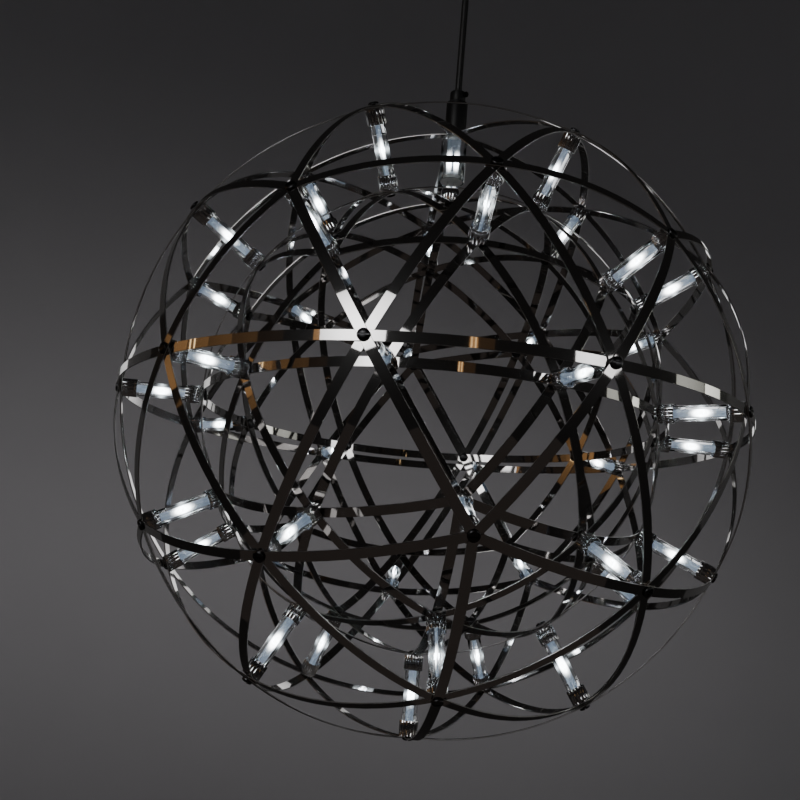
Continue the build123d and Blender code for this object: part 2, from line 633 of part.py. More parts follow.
TAIL_FOOT = SWIVEL.Z + SOCKET_RADIUS
TAIL_TOP = CUP_FLOOR + GLAND_THREAD_LENGTH + TAIL_RISE
with BuildPart() as cord_tail:
    with BuildSketch(Plane.XY.offset(TAIL_FOOT)):
        Circle(CORD_RADIUS)
    extrude(amount=TAIL_TOP - TAIL_FOOT)
save(cord_tail.part, "cord_tail")

# Ceiling cup, hung on two studs from the cross bracket
with BuildPart() as canopy_cup:
    with BuildSketch(Plane.XY.offset(CUP_FLOOR)):
        Circle(CUP_RADIUS)
    extrude(amount=CUP_HEIGHT)
    fillet(canopy_cup.faces().sort_by(Axis.Z)[0].edges(), CUP_CORNER)
    offset(amount=-CUP_WALL, openings=canopy_cup.faces().sort_by(Axis.Z)[-1])
    with BuildSketch(Plane.XY.offset(CUP_FLOOR)):
        Circle(GLAND_THREAD_RADIUS + GRIP_FIT)
        with GridLocations(STUD_SPACING, 0, 2, 1):
            Circle(STUD_RADIUS + STUD_HOLE_GAP)
    extrude(amount=CUP_WALL, mode=Mode.SUBTRACT)
save(canopy_cup.part, "canopy_cup")

with BuildPart() as bracket:
    with BuildSketch(Plane.XY.offset(-BRACKET_THICKNESS)):
        RectangleRounded(BRACKET_LENGTH, BRACKET_WIDTH, BRACKET_WIDTH / 4)
        with GridLocations(BRACKET_SLOT_SPACING, 0, 2, 1):
            SlotOverall(BRACKET_SLOT_LENGTH, BRACKET_SLOT_WIDTH, mode=Mode.SUBTRACT)
        with GridLocations(STUD_SPACING, 0, 2, 1):
            Circle(STUD_RADIUS + STUD_HOLE_GAP, mode=Mode.SUBTRACT)
        with Locations((EARTH_SCREW_PLACE, 0)):
            Circle(SCREW_RADIUS + STUD_HOLE_GAP, mode=Mode.SUBTRACT)
    extrude(amount=BRACKET_THICKNESS)
save(bracket.part, "ceiling_bracket")

NUT_TOP = CUP_FLOOR - LAYER_GAP
NUT_BASE = NUT_TOP - CAP_NUT_HEIGHT
STUD_FOOT = NUT_BASE - CAP_NUT_DOME / 3
with BuildPart() as studs:
    with BuildSketch(Plane.XY.offset(STUD_FOOT)):
        with GridLocations(STUD_SPACING, 0, 2, 1):
            Circle(STUD_RADIUS)
    extrude(amount=-CEILING_GAP - STUD_FOOT)
save(studs.part, "canopy_studs")

with BuildPart() as cap_nut:
    with BuildSketch(Plane.XY.offset(NUT_BASE)):
        RegularPolygon(CAP_NUT_WIDTH / 2, 6, major_radius=False)
    extrude(amount=CAP_NUT_HEIGHT)
    with BuildSketch(Plane.XZ):
        with BuildLine():
            outline = Polyline((0, NUT_BASE - CAP_NUT_DOME), (0, NUT_BASE), (CAP_NUT_WIDTH / 2, NUT_BASE))
            TangentArc(outline @ 0, outline @ 1, tangent=(1, 0))
        make_face()
    revolve(axis=Axis.Z)
    with BuildSketch(Plane.XY.offset(STUD_FOOT - LAYER_GAP)):
        Circle(STUD_RADIUS + STUD_HOLE_GAP)
    extrude(amount=GLAND_LENGTH, mode=Mode.SUBTRACT)
stud_places = [Plane(origin=(side * STUD_SPACING / 2, 0, 0)) for side in (-1, 1)]
save(copies(cap_nut.part, stud_places), "canopy_cap_nuts")

with BuildPart() as earth_screw:
    with BuildSketch(Plane.XY.offset(-CEILING_GAP)):
        with Locations((EARTH_SCREW_PLACE, 0)):
            Circle(SCREW_RADIUS)
    extrude(amount=-EARTH_SCREW_LENGTH)
    with BuildSketch(Plane.XY.offset(-BRACKET_THICKNESS - LAYER_GAP)):
        with Locations((EARTH_SCREW_PLACE, 0)):
            Circle(SCREW_HEAD_RADIUS)
    extrude(amount=-SCREW_HEAD_HEIGHT)
save(earth_screw.part, "earth_screw")

# LED driver on its adhesive pad, terminal block and leads inside the cup
PAD_TOP = CUP_INSIDE + DRIVER_PAD
with BuildPart() as driver_pad:
    with BuildSketch(Plane.XY.offset(CUP_INSIDE)):
        with Locations((0, DRIVER_PLACE)):
            Rectangle(DRIVER_LENGTH - 2 * DRIVER_EDGE, DRIVER_WIDTH - 2 * DRIVER_EDGE)
    extrude(amount=DRIVER_PAD)
save(driver_pad.part, "driver_pad")

with BuildPart() as driver:
    with BuildSketch(Plane.XY.offset(PAD_TOP)):
        with Locations((0, DRIVER_PLACE)):
            RectangleRounded(DRIVER_LENGTH, DRIVER_WIDTH, DRIVER_EDGE)
    extrude(amount=DRIVER_HEIGHT)
    chamfer(driver.faces().sort_by(Axis.Z)[-1].edges(), DRIVER_EDGE / 2)
save(driver.part, "led_driver")

BLOCK_PITCH = BLOCK_LENGTH / BLOCK_WAYS
with BuildPart() as terminal_block:
    with BuildSketch(Plane.XY.offset(CUP_INSIDE)):
        with Locations((0, BLOCK_PLACE)):
            Rectangle(BLOCK_LENGTH, BLOCK_WIDTH)
    extrude(amount=BLOCK_HEIGHT)
    with BuildSketch(Plane.XY.offset(CUP_INSIDE + BLOCK_HEIGHT)):
        with Locations((0, BLOCK_PLACE)):
            with GridLocations(BLOCK_PITCH, 0, BLOCK_WAYS, 1):
                Circle(BLOCK_SCREW_WELL)
    extrude(amount=-BLOCK_HEIGHT / 2, mode=Mode.SUBTRACT)
save(terminal_block.part, "terminal_block")

DRIVER_FACE = DRIVER_PLACE - DRIVER_WIDTH / 2
BLOCK_FACE = BLOCK_PLACE + BLOCK_WIDTH / 2
LEAD_TOP = TAIL_TOP + LEAD_BEND + LEAD_RADIUS
with BuildPart() as output_leads:
    for side in (-1, 1):
        place = side * LEAD_SPACING / 2
        with BuildLine():
            route = FilletPolyline(
                (place, 0, TAIL_TOP), (place, 0, LEAD_TOP), (place, DRIVER_FACE, LEAD_TOP), radius=LEAD_BEND
            )
        with BuildSketch(Plane(origin=route @ 0, z_dir=route % 0)):
            Circle(LEAD_RADIUS)
        sweep()
save(output_leads.part, "output_leads")

with BuildPart() as mains_leads:
    with BuildSketch(Plane.XZ.offset(-BLOCK_FACE)):
        with Locations((0, -MAINS_LEAD_DROP)):
            with GridLocations(MAINS_LEAD_SPACING, 0, 2, 1):
                Circle(LEAD_RADIUS)
    extrude(amount=BLOCK_FACE - DRIVER_FACE)
save(mains_leads.part, "mains_leads")
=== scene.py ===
import random
from itertools import combinations
from math import atan, atan2, cos, degrees, pi, radians, sin

import bpy
from mathutils import Matrix, Vector


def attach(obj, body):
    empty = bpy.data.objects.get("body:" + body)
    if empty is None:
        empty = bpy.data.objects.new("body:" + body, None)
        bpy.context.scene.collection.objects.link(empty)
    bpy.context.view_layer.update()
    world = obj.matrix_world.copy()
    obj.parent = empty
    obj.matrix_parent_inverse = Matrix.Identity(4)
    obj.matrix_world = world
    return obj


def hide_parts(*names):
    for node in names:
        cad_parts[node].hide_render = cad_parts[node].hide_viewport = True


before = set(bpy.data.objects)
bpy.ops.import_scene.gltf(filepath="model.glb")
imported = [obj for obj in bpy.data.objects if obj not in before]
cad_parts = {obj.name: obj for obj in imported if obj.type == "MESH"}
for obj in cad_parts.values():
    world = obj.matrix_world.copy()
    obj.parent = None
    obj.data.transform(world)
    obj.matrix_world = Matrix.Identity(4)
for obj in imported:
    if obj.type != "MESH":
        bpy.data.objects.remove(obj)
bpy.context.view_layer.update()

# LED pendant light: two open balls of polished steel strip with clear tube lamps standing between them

MM = 0.001
MERGE_DISTANCE = 0.002 * MM

# Ball frames, in metres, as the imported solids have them
BALL_CENTRE = Vector((0, 0, -400 * MM))
BALL_TURN = 25.7
OUTER_RADIUS = 215 * MM
INNER_RADIUS = 160 * MM
STRIP_WIDTH = 6 * MM
STRIP_THICKNESS = 0.8 * MM
LAYER_STEP = 0.9 * MM
MITRE_GAP = 0.3 * MM
STRIP_EDGE = 0.12 * MM
HOOP_ARC_STEPS = 12
STRIP_ARC_STEPS = 30
OUTER_SEAT = OUTER_RADIUS - STRIP_THICKNESS - 2 * LAYER_STEP
INNER_SIX_WAY_FACE = INNER_RADIUS - STRIP_THICKNESS - 2 * LAYER_STEP
SEAT_GAP = 0.15 * MM

# Lamps
CAP_RADIUS = 6.2 * MM
CAP_LENGTH = 10 * MM
FLUTES = 12
FLUTE_STEPS = 8
FLUTE_DEPTH = 0.6 * MM
CAP_EDGE = 0.18 * MM
SOCKET_DEPTH = 4 * MM
SOCKET_RADIUS = 5 * MM
TUBE_RADIUS = 4.9 * MM
TUBE_WALL = 0.8 * MM
TUBE_SIDES = 40
TUBE_RING_STEP = 4 * MM
BOARD_WIDTH = 5 * MM
BOARD_THICKNESS = 1 * MM
BOARD_EDGE = 0.08 * MM
RESISTOR_SIZE = (0.9 * MM, 0.8 * MM, 1.5 * MM)
RESISTOR_REACHES = (0.66, -0.7)
PAD_SIZE = (0.24 * MM, 0.8 * MM, 1.2 * MM)
PAD_EDGE = 0.06 * MM
PAD_REACH = 0.5
PAD_ASIDE = 0.28
CHIP_SIDE = 2.8 * MM
CHIP_HEIGHT = 0.9 * MM
CHIP_FRAME = 0.3 * MM
CHIP_SINK = 0.15 * MM
END_GAP = 0.1 * MM
GLOW_REACH = 20 * MM
GLOW_RADIUS = 13 * MM
BOARD_GLOW = 120.0
LED_GLOW = 200.0
OUTER_CAP_END = OUTER_SEAT - SEAT_GAP
INNER_CAP_END = INNER_RADIUS + SEAT_GAP
LAMP_TOP = OUTER_CAP_END - CAP_LENGTH + SOCKET_DEPTH - END_GAP
LAMP_FOOT = INNER_CAP_END + CAP_LENGTH - SOCKET_DEPTH + END_GAP
LAMP_MIDDLE = (LAMP_TOP + LAMP_FOOT) / 2

# Screws
SCREW_HEAD_RADIUS = 3.5 * MM
SCREW_HEAD_RIM = 0.7 * MM
SCREW_HEAD_HEIGHT = 1.8 * MM
SCREW_RADIUS = 1.5 * MM
SCREW_LENGTH = 7 * MM
SCREW_SEAT_GAP = 0.3 * MM
SLOT_WIDTH = 0.9 * MM
SLOT_DEPTH = 0.8 * MM
SLOT_OVERCUT = 1 * MM
SCREW_SIDES = 28
SCREW_DOME_RINGS = 5
SHANK_SIDES = 14
SHANK_EDGE = 0.25 * MM

# Wide feed tube under the top crossing
FEED_RADIUS = 9.2 * MM
FEED_WALL = 1 * MM
FEED_TOP = BALL_CENTRE.z + OUTER_SEAT - SEAT_GAP
FEED_FOOT = FEED_TOP - 36 * MM
FEED_SHOULDER = 4.5 * MM
FEED_SIDES = 72
FEED_EDGE = 0.25 * MM
FEED_MOUTH_RADIUS = 3.8 * MM
FEED_BOARD_WIDTH = 10 * MM
FEED_CHIP_SPACING = 5.5 * MM
FEED_BARE_MIDDLE = 1.6 * MM
FEED_BOARD_FOOT = FEED_FOOT + 3.1 * MM
FEED_BOARD_TOP = FEED_TOP - 2.7 * MM
FEED_CHIP_MIDDLE = (FEED_BOARD_FOOT + FEED_BOARD_TOP) / 2 - 1 * MM

# Cord grip over the top crossing
GRIP_BASE = BALL_CENTRE.z + OUTER_SEAT + STRIP_THICKNESS + SCREW_SEAT_GAP
GRIP_TOP = GRIP_BASE + 25 * MM
GRIP_FLOOR = GRIP_BASE + 4 * MM
GRIP_RADIUS = 7.8 * MM
GRIP_BORE = 5.4 * MM
GRIP_EDGE = 0.6 * MM
GRIP_ROUNDING = 0.15 * MM
STEM_HOLE = 3.1 * MM
COLLAR_FOOT = GRIP_TOP + 0.1 * MM
COLLAR_TOP = GRIP_TOP + 8.5 * MM
COLLAR_RADIUS = 5.8 * MM
SPIGOT_FOOT = GRIP_TOP - 5 * MM
SPIGOT_RADIUS = 5.3 * MM
CORD_HOLE = 2.8 * MM

# The cord's straight drop from the boot's tip to the stop inside the grip
CORD_RADIUS = 2.5 * MM
CORD_POINTS = [(0, 0, -0.0680), (0, 0, -0.0980), (0, 0, -0.1370), (0, 0, -0.1668)]
CORD_ROUNDNESS = 8

# Camera, from a fit of the crossings to the photo
CAMERA_PLACE = BALL_CENTRE + Vector((0, -757.55, -147.08)) * MM
CAMERA_FORWARD = Vector((-0.03063, 0.97822, 0.20528))
CAMERA_RIGHT = Vector((0.99647, 0.01383, 0.08281))
CAMERA_LENS = 49.93
CAMERA_SENSOR = 36
CAMERA_NEAR = 0.01

# Studio, in metres and watts
FLOOR_HEIGHT = -2.6
FLOOR_RADIUS = 2.6
SWEEP_RADIUS = 1.6
SWEEP_STEPS = 16
FLOOR_SIDES = 96
WALL_TOP = 6
WALL_RADIUS = FLOOR_RADIUS + SWEEP_RADIUS
ROOM_DARK = (0.01, 0.0094, 0.0092, 1)
WHITE = (1, 1, 1)
ROSY_WHITE = (1, 0.97, 0.98)
PANEL_WHITE = (1, 0.98, 0.98)
WALL_WHITE = (1, 0.96, 0.98)
GREENISH = (0.98, 1, 0.9)
ORANGE = (1, 0.52, 0.19)
AMBER = (1, 0.7, 0.36)
LOW_ROSE = (1, 0.78, 0.66)
ALL_ROUND = 180

# Room lights: name, place, aim, width and height, power, colour, spread
ROOM_LIGHTS = (
    ("overhead_light", (0, 0, 2.9), (0, 0, -1), (4, 4), 1.2, ROSY_WHITE, ALL_ROUND),
    ("top_light", (0, 0, 1.5), (0, 0, 0), (0.6, 0.6), 6, PANEL_WHITE, 80),
    ("floor_light", (0, 0, -1.1), (0, 0, -3), (2.4, 2.4), 6, ROSY_WHITE, 150),
)

# Wall lights: azimuth round the ball from the camera's side, power, spread
WALL_LIGHTS = ((-166.5, 3.05, 80), (-62, 4.6, 110), (15, 5.2, 110), (100, 4.6, 110))
WALL_LIGHT_SIZE = (3.8, 0.5)
WALL_LIGHT_DISTANCE = 1.5
WALL_LIGHT_ELEVATION = -2
WALL_AIM_ELEVATION = 2

# Two large panels behind the ball
PANEL_AZIMUTHS = (-140, 140)
PANEL_ELEVATION = 5
PANEL_DISTANCE = 2.4
PANEL_SIZE = (2.4, 2)
PANEL_POWER = 0.55

# A warm glow from below
LOW_PLACE = (0, -0.4, -1.3)
LOW_SIZE = (2.4, 2.4)
LOW_POWER = 0.4

# Soft boxes that the polished strips mirror: name, azimuth, elevation, width, height, power, colour
BOX_DISTANCE = 2.2
BOX_SPREAD = 45
SOFT_BOXES = (
    ("front_box", -27.1, 18.5, 0.83, 0.7, 0.69, WHITE),
    ("front_right_box", 51.4, 12.2, 0.545, 0.242, 0.095, WHITE),
    ("right_box", 101.5, 12, 0.36, 0.5, 0.085, GREENISH),
    ("right_dim_box", 89.3, 12, 0.52, 0.5, 0.0396, GREENISH),
    ("warm_box", -96, 9, 0.385, 0.49, 0.015, ORANGE),
    ("warm_box", -86, 9, 0.385, 0.85, 0.017, ORANGE),
    ("warm_box", -76, 13, 0.385, 0.45, 0.005, ORANGE),
    ("warm_box", -66, 13, 0.385, 0.45, 0.0029, ORANGE),
    ("warm_box", -56, 13, 0.385, 0.45, 0.0005, ORANGE),
    ("warm_box", -39, 14, 0.09, 0.45, 0.0044, ORANGE),
    ("warm_box", 12, 14, 0.1, 0.3, 0.003, ORANGE),
    ("warm_box", 16, 14, 0.2, 0.3, 0.0005, ORANGE),
    ("warm_lamp", -89.1, 13, 0.025, 0.4, 0.006, AMBER),
    ("warm_lamp", -87.1, 13, 0.025, 0.4, 0.006, AMBER),
    ("warm_lamp", 11.3, 13, 0.016, 0.4, 0.0018, AMBER),
    ("warm_lamp", 12.6, 13, 0.016, 0.4, 0.0018, AMBER),
    ("back_box", 165, 18, 0.9, 0.7, 0.22, WHITE),
    ("back_left_box", -140, 12, 0.5, 0.5, 0.05, WHITE),
)


def deselect():
    """Leave edit mode with nothing selected."""
    if bpy.context.object and bpy.context.object.mode != "OBJECT":
        bpy.ops.object.mode_set(mode="OBJECT")
    bpy.ops.object.select_all(action="DESELECT")


def only(piece):
    """Make one piece the selected and active one."""
    deselect()
    piece.select_set(True)
    bpy.context.view_layer.objects.active = piece
    return piece


def begin(name):
    """Name the primitive that was just added, with its size and place in its mesh."""
    piece = bpy.context.object
    piece.name = name
    piece.data.name = name
    bpy.ops.object.transform_apply(location=True, rotation=True, scale=True)
    return piece


def edit(piece, kind="FACE"):
    """Open a piece in edit mode with nothing selected."""
    only(piece)
    bpy.ops.object.mode_set(mode="EDIT")
    bpy.ops.mesh.select_mode(type=kind)
    bpy.ops.mesh.select_all(action="DESELECT")


def pick(piece, kind, test):
    """In edit mode, select the vertices or polygons that pass a test."""
    modes = {"vertices": "VERT", "polygons": "FACE"}
    edit(piece, modes[kind])
    bpy.ops.object.mode_set(mode="OBJECT")
    for item in getattr(piece.data, kind):
        item.select = bool(test(item))
    bpy.ops.object.mode_set(mode="EDIT")


def bevel(piece, width, segments=2, angle=30):
    """Round every edge sharper than the angle."""
    only(piece)
    modifier = piece.modifiers.new("edges", "BEVEL")
    modifier.width = width
    modifier.segments = segments
    modifier.limit_method = "ANGLE"
    modifier.angle_limit = radians(angle)
    bpy.ops.object.modifier_apply(modifier="edges")


def smooth(piece, angle=25):
    """Smooth shading across edges flatter than the angle."""
    only(piece)
    bpy.ops.object.shade_smooth_by_angle(angle=radians(angle))
    return piece


def outwards(piece):
    """Merge what meets and turn every face outwards."""
    edit(piece, "VERT")
    bpy.ops.mesh.select_all(action="SELECT")
    bpy.ops.mesh.remove_doubles(threshold=MERGE_DISTANCE)
    bpy.ops.mesh.normals_make_consistent(inside=False)
    bpy.ops.object.mode_set(mode="OBJECT")


def cut(piece, place, normal, **ends):
    """Cut a piece through along a plane."""
    edit(piece)
    bpy.ops.mesh.select_all(action="SELECT")
    bpy.ops.mesh.bisect(plane_co=place, plane_no=normal, **ends)


def extrude_through(profile):
    """Extrude the selected ring through a profile of radius and height, resized about Z at each step."""
    for (radius, height), (next_radius, next_height) in zip(profile, profile[1:]):
        bpy.ops.mesh.extrude_region_move(TRANSFORM_OT_translate={"value": (0, 0, next_height - height)})
        growth = next_radius / radius
        bpy.ops.transform.resize(value=(growth, growth, 1), center_override=(0, 0, 0))


def join(pieces, name):
    """Several pieces as one."""
    deselect()
    for piece in pieces:
        piece.select_set(True)
    bpy.context.view_layer.objects.active = pieces[0]
    bpy.ops.object.join()
    joined = bpy.context.object
    joined.name = name
    joined.data.name = name
    return joined


def copies(pattern, places, name):
    """A copy of the pattern at each place, as one piece with a tone of its own for each copy."""
    made = []
    tones = random.Random(name)
    for place in places:
        twin = pattern.copy()
        twin.data = pattern.data.copy()
        twin.data.transform(place)
        tone = twin.data.attributes.new("tone", "FLOAT", "POINT")
        tone.data.foreach_set("value", [tones.random()] * len(twin.data.vertices))
        bpy.context.collection.objects.link(twin)
        made.append(twin)
    return join(made, name)


def drop(pattern):
    """Remove a pattern that has been copied."""
    bpy.data.objects.remove(pattern, do_unlink=True)


def settle(piece, finish, body, node):
    """Give a piece its finish and body, and let it stand for its solid."""
    piece.data.materials.clear()
    piece.data.materials.append(finish)
    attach(piece, body)
    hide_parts(node)


# Shader maths as Python expressions


class Value:
    """A node's output socket, with arithmetic that adds Math nodes."""

    def __init__(self, finish, socket):
        self.finish = finish
        self.socket = socket

    def maths(self, operation, first, second=0.0):
        """One Math node on two values or numbers."""
        return self.finish.node("Math", {"operation": operation}, {0: first, 1: second})

    def __add__(self, other):
        return self.maths("ADD", self, other)

    def __radd__(self, other):
        return self.maths("ADD", other, self)

    def __sub__(self, other):
        return self.maths("SUBTRACT", self, other)

    def __rsub__(self, other):
        return self.maths("SUBTRACT", other, self)

    def __mul__(self, other):
        return self.maths("MULTIPLY", self, other)

    def __rmul__(self, other):
        return self.maths("MULTIPLY", other, self)

    def __truediv__(self, other):
        return self.maths("DIVIDE", self, other)

    def __pow__(self, other):
        return self.maths("POWER", self, other)

    def __lt__(self, other):
        return self.maths("LESS_THAN", self, other)

    def __gt__(self, other):
        return self.maths("GREATER_THAN", self, other)

    def __abs__(self):
        return self.maths("ABSOLUTE", self)

    def above(self, floor):
        """The value, or the floor where that is higher."""
        return self.maths("MAXIMUM", self, floor)


class Finish:
    """A material built from nodes round one Principled shader."""

    def __init__(self, name, **constants):
        self.material = bpy.data.materials.new(name)
        self.material.use_nodes = True
        self.tree = self.material.node_tree
        self.shader = self.tree.nodes["Principled BSDF"]
        for socket, value in constants.items():
            label = socket.replace("_", " ").title().replace("Ior", "IOR")
            self.shader.inputs[label].default_value = value

    def node(self, kind, settings=None, sockets=None, output=0):
        """Add a node: its settings first, then the values or links of its sockets."""
        node = self.tree.nodes.new("ShaderNode" + kind)
        for name, setting in (settings or {}).items():
            setattr(node, name, setting)
        for name, value in (sockets or {}).items():
            self.put(node.inputs[name], value)
        return Value(self, node.outputs[output])

    def put(self, socket, value):
        """Set a socket to a number or colour, or link a value to it."""
        if isinstance(value, Value):
            self.tree.links.new(value.socket, socket)
        elif hasattr(value, "__len__") and len(value) == 3 and len(socket.default_value) == 4:
            socket.default_value = (*value, 1)
        else:
            socket.default_value = value

    def feed(self, socket, value):
        """Give the shader's socket a value that changes over the surface."""
        self.put(self.shader.inputs[socket], value)

    def object_place(self):
        """The place on the piece, in metres."""
        return self.node("TexCoord", output=3)

    def noise(self, scale, detail=3.0, rough=0.55, place=None):
        """Soft noise from 0 to 1, with its scale in repeats to a metre."""
        place = place or self.object_place()
        sockets = {"Vector": place, "Scale": scale, "Detail": detail, "Roughness": rough}
        return self.node("TexNoise", {}, sockets)

    def mix(self, factor, first, second):
        """A colour between two colours."""
        return self.node("Mix", {"data_type": "RGBA"}, {0: factor, 6: first, 7: second}, output=2)

    def tone(self):
        """The tone of each copy, from 0 to 1."""
        return self.node("Attribute", {"attribute_name": "tone"}, output=2)

    def uv(self):
        """The two directions of the piece's own UV map."""
        split = self.node("SeparateXYZ", {}, {0: self.node("UVMap", {"uv_map": "along"})})
        return split, Value(self, split.socket.node.outputs[1])

    def bump(self, height, strength, distance):
        """Raise the surface's fine relief from a height."""
        relief = {"Height": height, "Strength": strength, "Distance": distance}
        self.feed("Normal", self.node("Bump", {}, relief))


def polished_steel():
    """Mirror-polished strip: faint smudges, a slow waviness from bending, and duller cut edges."""
    finish = Finish("polished_steel", metallic=1.0, coat_weight=0.36, coat_roughness=0.38)
    smudge = finish.noise(35, detail=4, rough=0.6)
    spots = finish.noise(160, detail=2, rough=0.5)
    cut = finish.node("Attribute", {"attribute_name": "cut_edge"}, output=2)
    finish.feed("Base Color", finish.mix(smudge, (0.37, 0.355, 0.35), (0.5, 0.49, 0.485)))
    finish.feed("Roughness", 0.025 + 0.07 * smudge**3 + 0.02 * spots**4 + 0.3 * cut)
    finish.bump(finish.noise(42, detail=1, rough=0.4), strength=0.05, distance=0.6 * MM)
    return finish.material


def cap_chrome():
    """Bright chrome on the lamp caps, a little duller in places."""
    finish = Finish("cap_chrome", metallic=1.0)
    haze = finish.noise(220, detail=3, rough=0.6)
    shade = finish.tone()
    finish.feed("Base Color", finish.mix(shade, (0.58, 0.58, 0.6), (0.74, 0.74, 0.75)))
    finish.feed("Roughness", 0.05 + 0.06 * haze**2)
    return finish.material


def dark_screw():
    """Dark nickel plating with a fine grain."""
    finish = Finish("dark_screw", metallic=1.0)
    grain = finish.noise(900, detail=3, rough=0.7)
    shade = finish.tone()
    finish.feed("Base Color", finish.mix(shade, (0.04, 0.04, 0.042), (0.09, 0.09, 0.095)))
    finish.feed("Roughness", 0.22 + 0.18 * grain)
    finish.bump(grain, strength=0.08, distance=0.05 * MM)
    return finish.material


def clear_glass_with_painted_glow(name, painted_glow_strength):
    """Clear drawn tube with a trace of dust, and a painted glow in its emission beside the LED, standing in
    for the LED's light seen in the glass.
    """
    finish = Finish(name, transmission_weight=1.0, ior=1.47, emission_strength=painted_glow_strength)
    tint = finish.noise(90, detail=2)
    finish.feed("Base Color", finish.mix(tint, (0.96, 0.98, 1.0), (0.99, 1.0, 1.0)))
    finish.feed("Roughness", 0.01 + 0.03 * finish.noise(400) ** 3)
    along = finish.uv()[1]
    # Painted light: emission in the glass that paints the LED's light beside the LED, fading out at the
    # reach.
    reach = 0.3
    painted_glow_mask = (1 - abs(along - 0.5) * 2 / reach).above(0) ** 3
    finish.feed("Emission Color", finish.mix(painted_glow_mask, (0, 0, 0), (0.85, 0.95, 1.0)))
    return finish.material


def white_board_with_painted_glow(name, width, led_places, bare_middle=0, brightness=1):
    """White solder mask, with the LEDs' light painted into its emission: brightest beside them, bluer and
    dimmer away from them.
    """
    finish = Finish(name, emission_strength=BOARD_GLOW)
    across, along = finish.uv()
    away = (along - 0.5) * 2 * GLOW_REACH
    # Painted light: the glow is emission that paints the LEDs' light on the board, fading with distance from
    # each LED.
    glow = 0
    for place in led_places:
        aside = ((across - 0.5) * width - place) * 2
        distance = (aside * aside + away * away) ** 0.5
        glow = glow + (1 - distance / GLOW_RADIUS).above(0) ** 6
    track_aside = 0.22
    track_half_width = 0.05
    track_start = 0.15
    track = (abs(abs(across - 0.5) - track_aside) < track_half_width) * (abs(along - 0.5) > track_start)
    mask = abs(across - 0.5) * width > bare_middle / 2
    mask_colour = [brightness * part for part in (0.8, 0.85, 0.9)]
    track_colour = [brightness * part for part in (0.66, 0.73, 0.78)]
    painted_far_glow_colour = [brightness * part for part in (0.00052, 0.00077, 0.00118)]
    finish.feed("Base Color", finish.mix(track, mask_colour, track_colour))
    finish.feed("Roughness", 0.35 + 0.2 * finish.noise(700))
    # Painted glow: white emission beside the LEDs, and a dim blue painted glow far from them.
    finish.feed("Emission Color", finish.mix(glow * mask, painted_far_glow_colour, (0.97, 1.0, 1.0)))
    finish.bump(track, strength=0.2, distance=0.05 * MM)
    return finish.material


def led_glow():
    """The lit LED: white phosphor in a white frame."""
    finish = Finish("led_glow", emission_strength=LED_GLOW)
    across, along = finish.uv()
    window = 0.4
    inside = (abs(across - 0.5) < window) * (abs(along - 0.5) < window)
    finish.feed("Base Color", finish.mix(inside, (0.85, 0.88, 0.9), (0.95, 0.93, 0.8)))
    finish.feed("Emission Color", finish.mix(inside, (0.25, 0.28, 0.32), (0.93, 0.97, 1.0)))
    return finish.material


def black_plastic():
    """Satin black moulding with a fine spark grain."""
    finish = Finish("black_plastic", specular_ior_level=0.3)
    grain = finish.noise(2600, detail=2, rough=0.6)
    wear = finish.noise(70, detail=4, rough=0.6)
    finish.feed("Base Color", finish.mix(wear, (0.006, 0.006, 0.007), (0.014, 0.014, 0.015)))
    finish.feed("Roughness", 0.36 + 0.2 * wear)
    finish.bump(grain, strength=0.12, distance=0.05 * MM)
    return finish.material


def black_cord():
    """Smooth black sheath with faint drawn lines along it."""
    finish = Finish("black_cord")
    drawn_out = finish.node("Mapping", {}, {0: finish.object_place(), 3: (1800, 1800, 30)})
    lines = finish.noise(1, detail=2, rough=0.5, place=drawn_out)
    finish.feed("Base Color", finish.mix(lines, (0.01, 0.01, 0.011), (0.024, 0.023, 0.023)))
    finish.feed("Roughness", 0.36 + 0.2 * lines)
    finish.bump(lines, strength=0.1, distance=0.06 * MM)
    return finish.material


def plain_finish(name, dark, light, rough, metallic=0.0, scale=300):
    """A quiet finish for the pieces inside: two close colours in soft noise, with roughness to match."""
    finish = Finish(name, metallic=metallic)
    noise = finish.noise(scale, detail=4, rough=0.6)
    finish.feed("Base Color", finish.mix(noise, dark, light))
    finish.feed("Roughness", rough + 0.15 * noise)
    finish.bump(noise, strength=0.06, distance=0.1 * MM)
    return finish.material


STEEL = polished_steel()
CHROME = cap_chrome()
DARK_SCREW = dark_screw()
# The glass tubes carry a painted glow in their emission beside their LEDs.
LAMP_GLASS = clear_glass_with_painted_glow("lamp_glass", painted_glow_strength=0.6)
FEED_GLASS = clear_glass_with_painted_glow("feed_glass", painted_glow_strength=0.06)
# The lamp and feed boards carry the LEDs' light as a painted glow in their emission.
LAMP_BOARD = white_board_with_painted_glow("lamp_board_white", BOARD_WIDTH, [0])
FEED_LEDS = [-FEED_CHIP_SPACING / 2, FEED_CHIP_SPACING / 2]
FEED_BOARD = white_board_with_painted_glow("feed_board_white", FEED_BOARD_WIDTH, FEED_LEDS, FEED_BARE_MIDDLE, brightness=0.35)
GLOW = led_glow()
BLACK = black_plastic()
SHEATH = black_cord()
PLATED = plain_finish("plated_steel", (0.5, 0.5, 0.5), (0.66, 0.66, 0.64), rough=0.3, metallic=0.65)
BRASS = plain_finish("brass", (0.6, 0.43, 0.18), (0.75, 0.57, 0.28), rough=0.25, metallic=1.0)
SATIN_BLACK = plain_finish("canopy_black", (0.03, 0.03, 0.031), (0.045, 0.045, 0.046), rough=0.3, scale=900)
RUBBER = plain_finish("black_rubber", (0.022, 0.022, 0.022), (0.036, 0.036, 0.036), rough=0.5, scale=1200)
MOULDED_WHITE = plain_finish("moulded_white", (0.76, 0.76, 0.74), (0.84, 0.84, 0.82), rough=0.38, scale=500)
INSULATION = plain_finish("lead_insulation", (0.6, 0.6, 0.58), (0.7, 0.7, 0.67), rough=0.35)
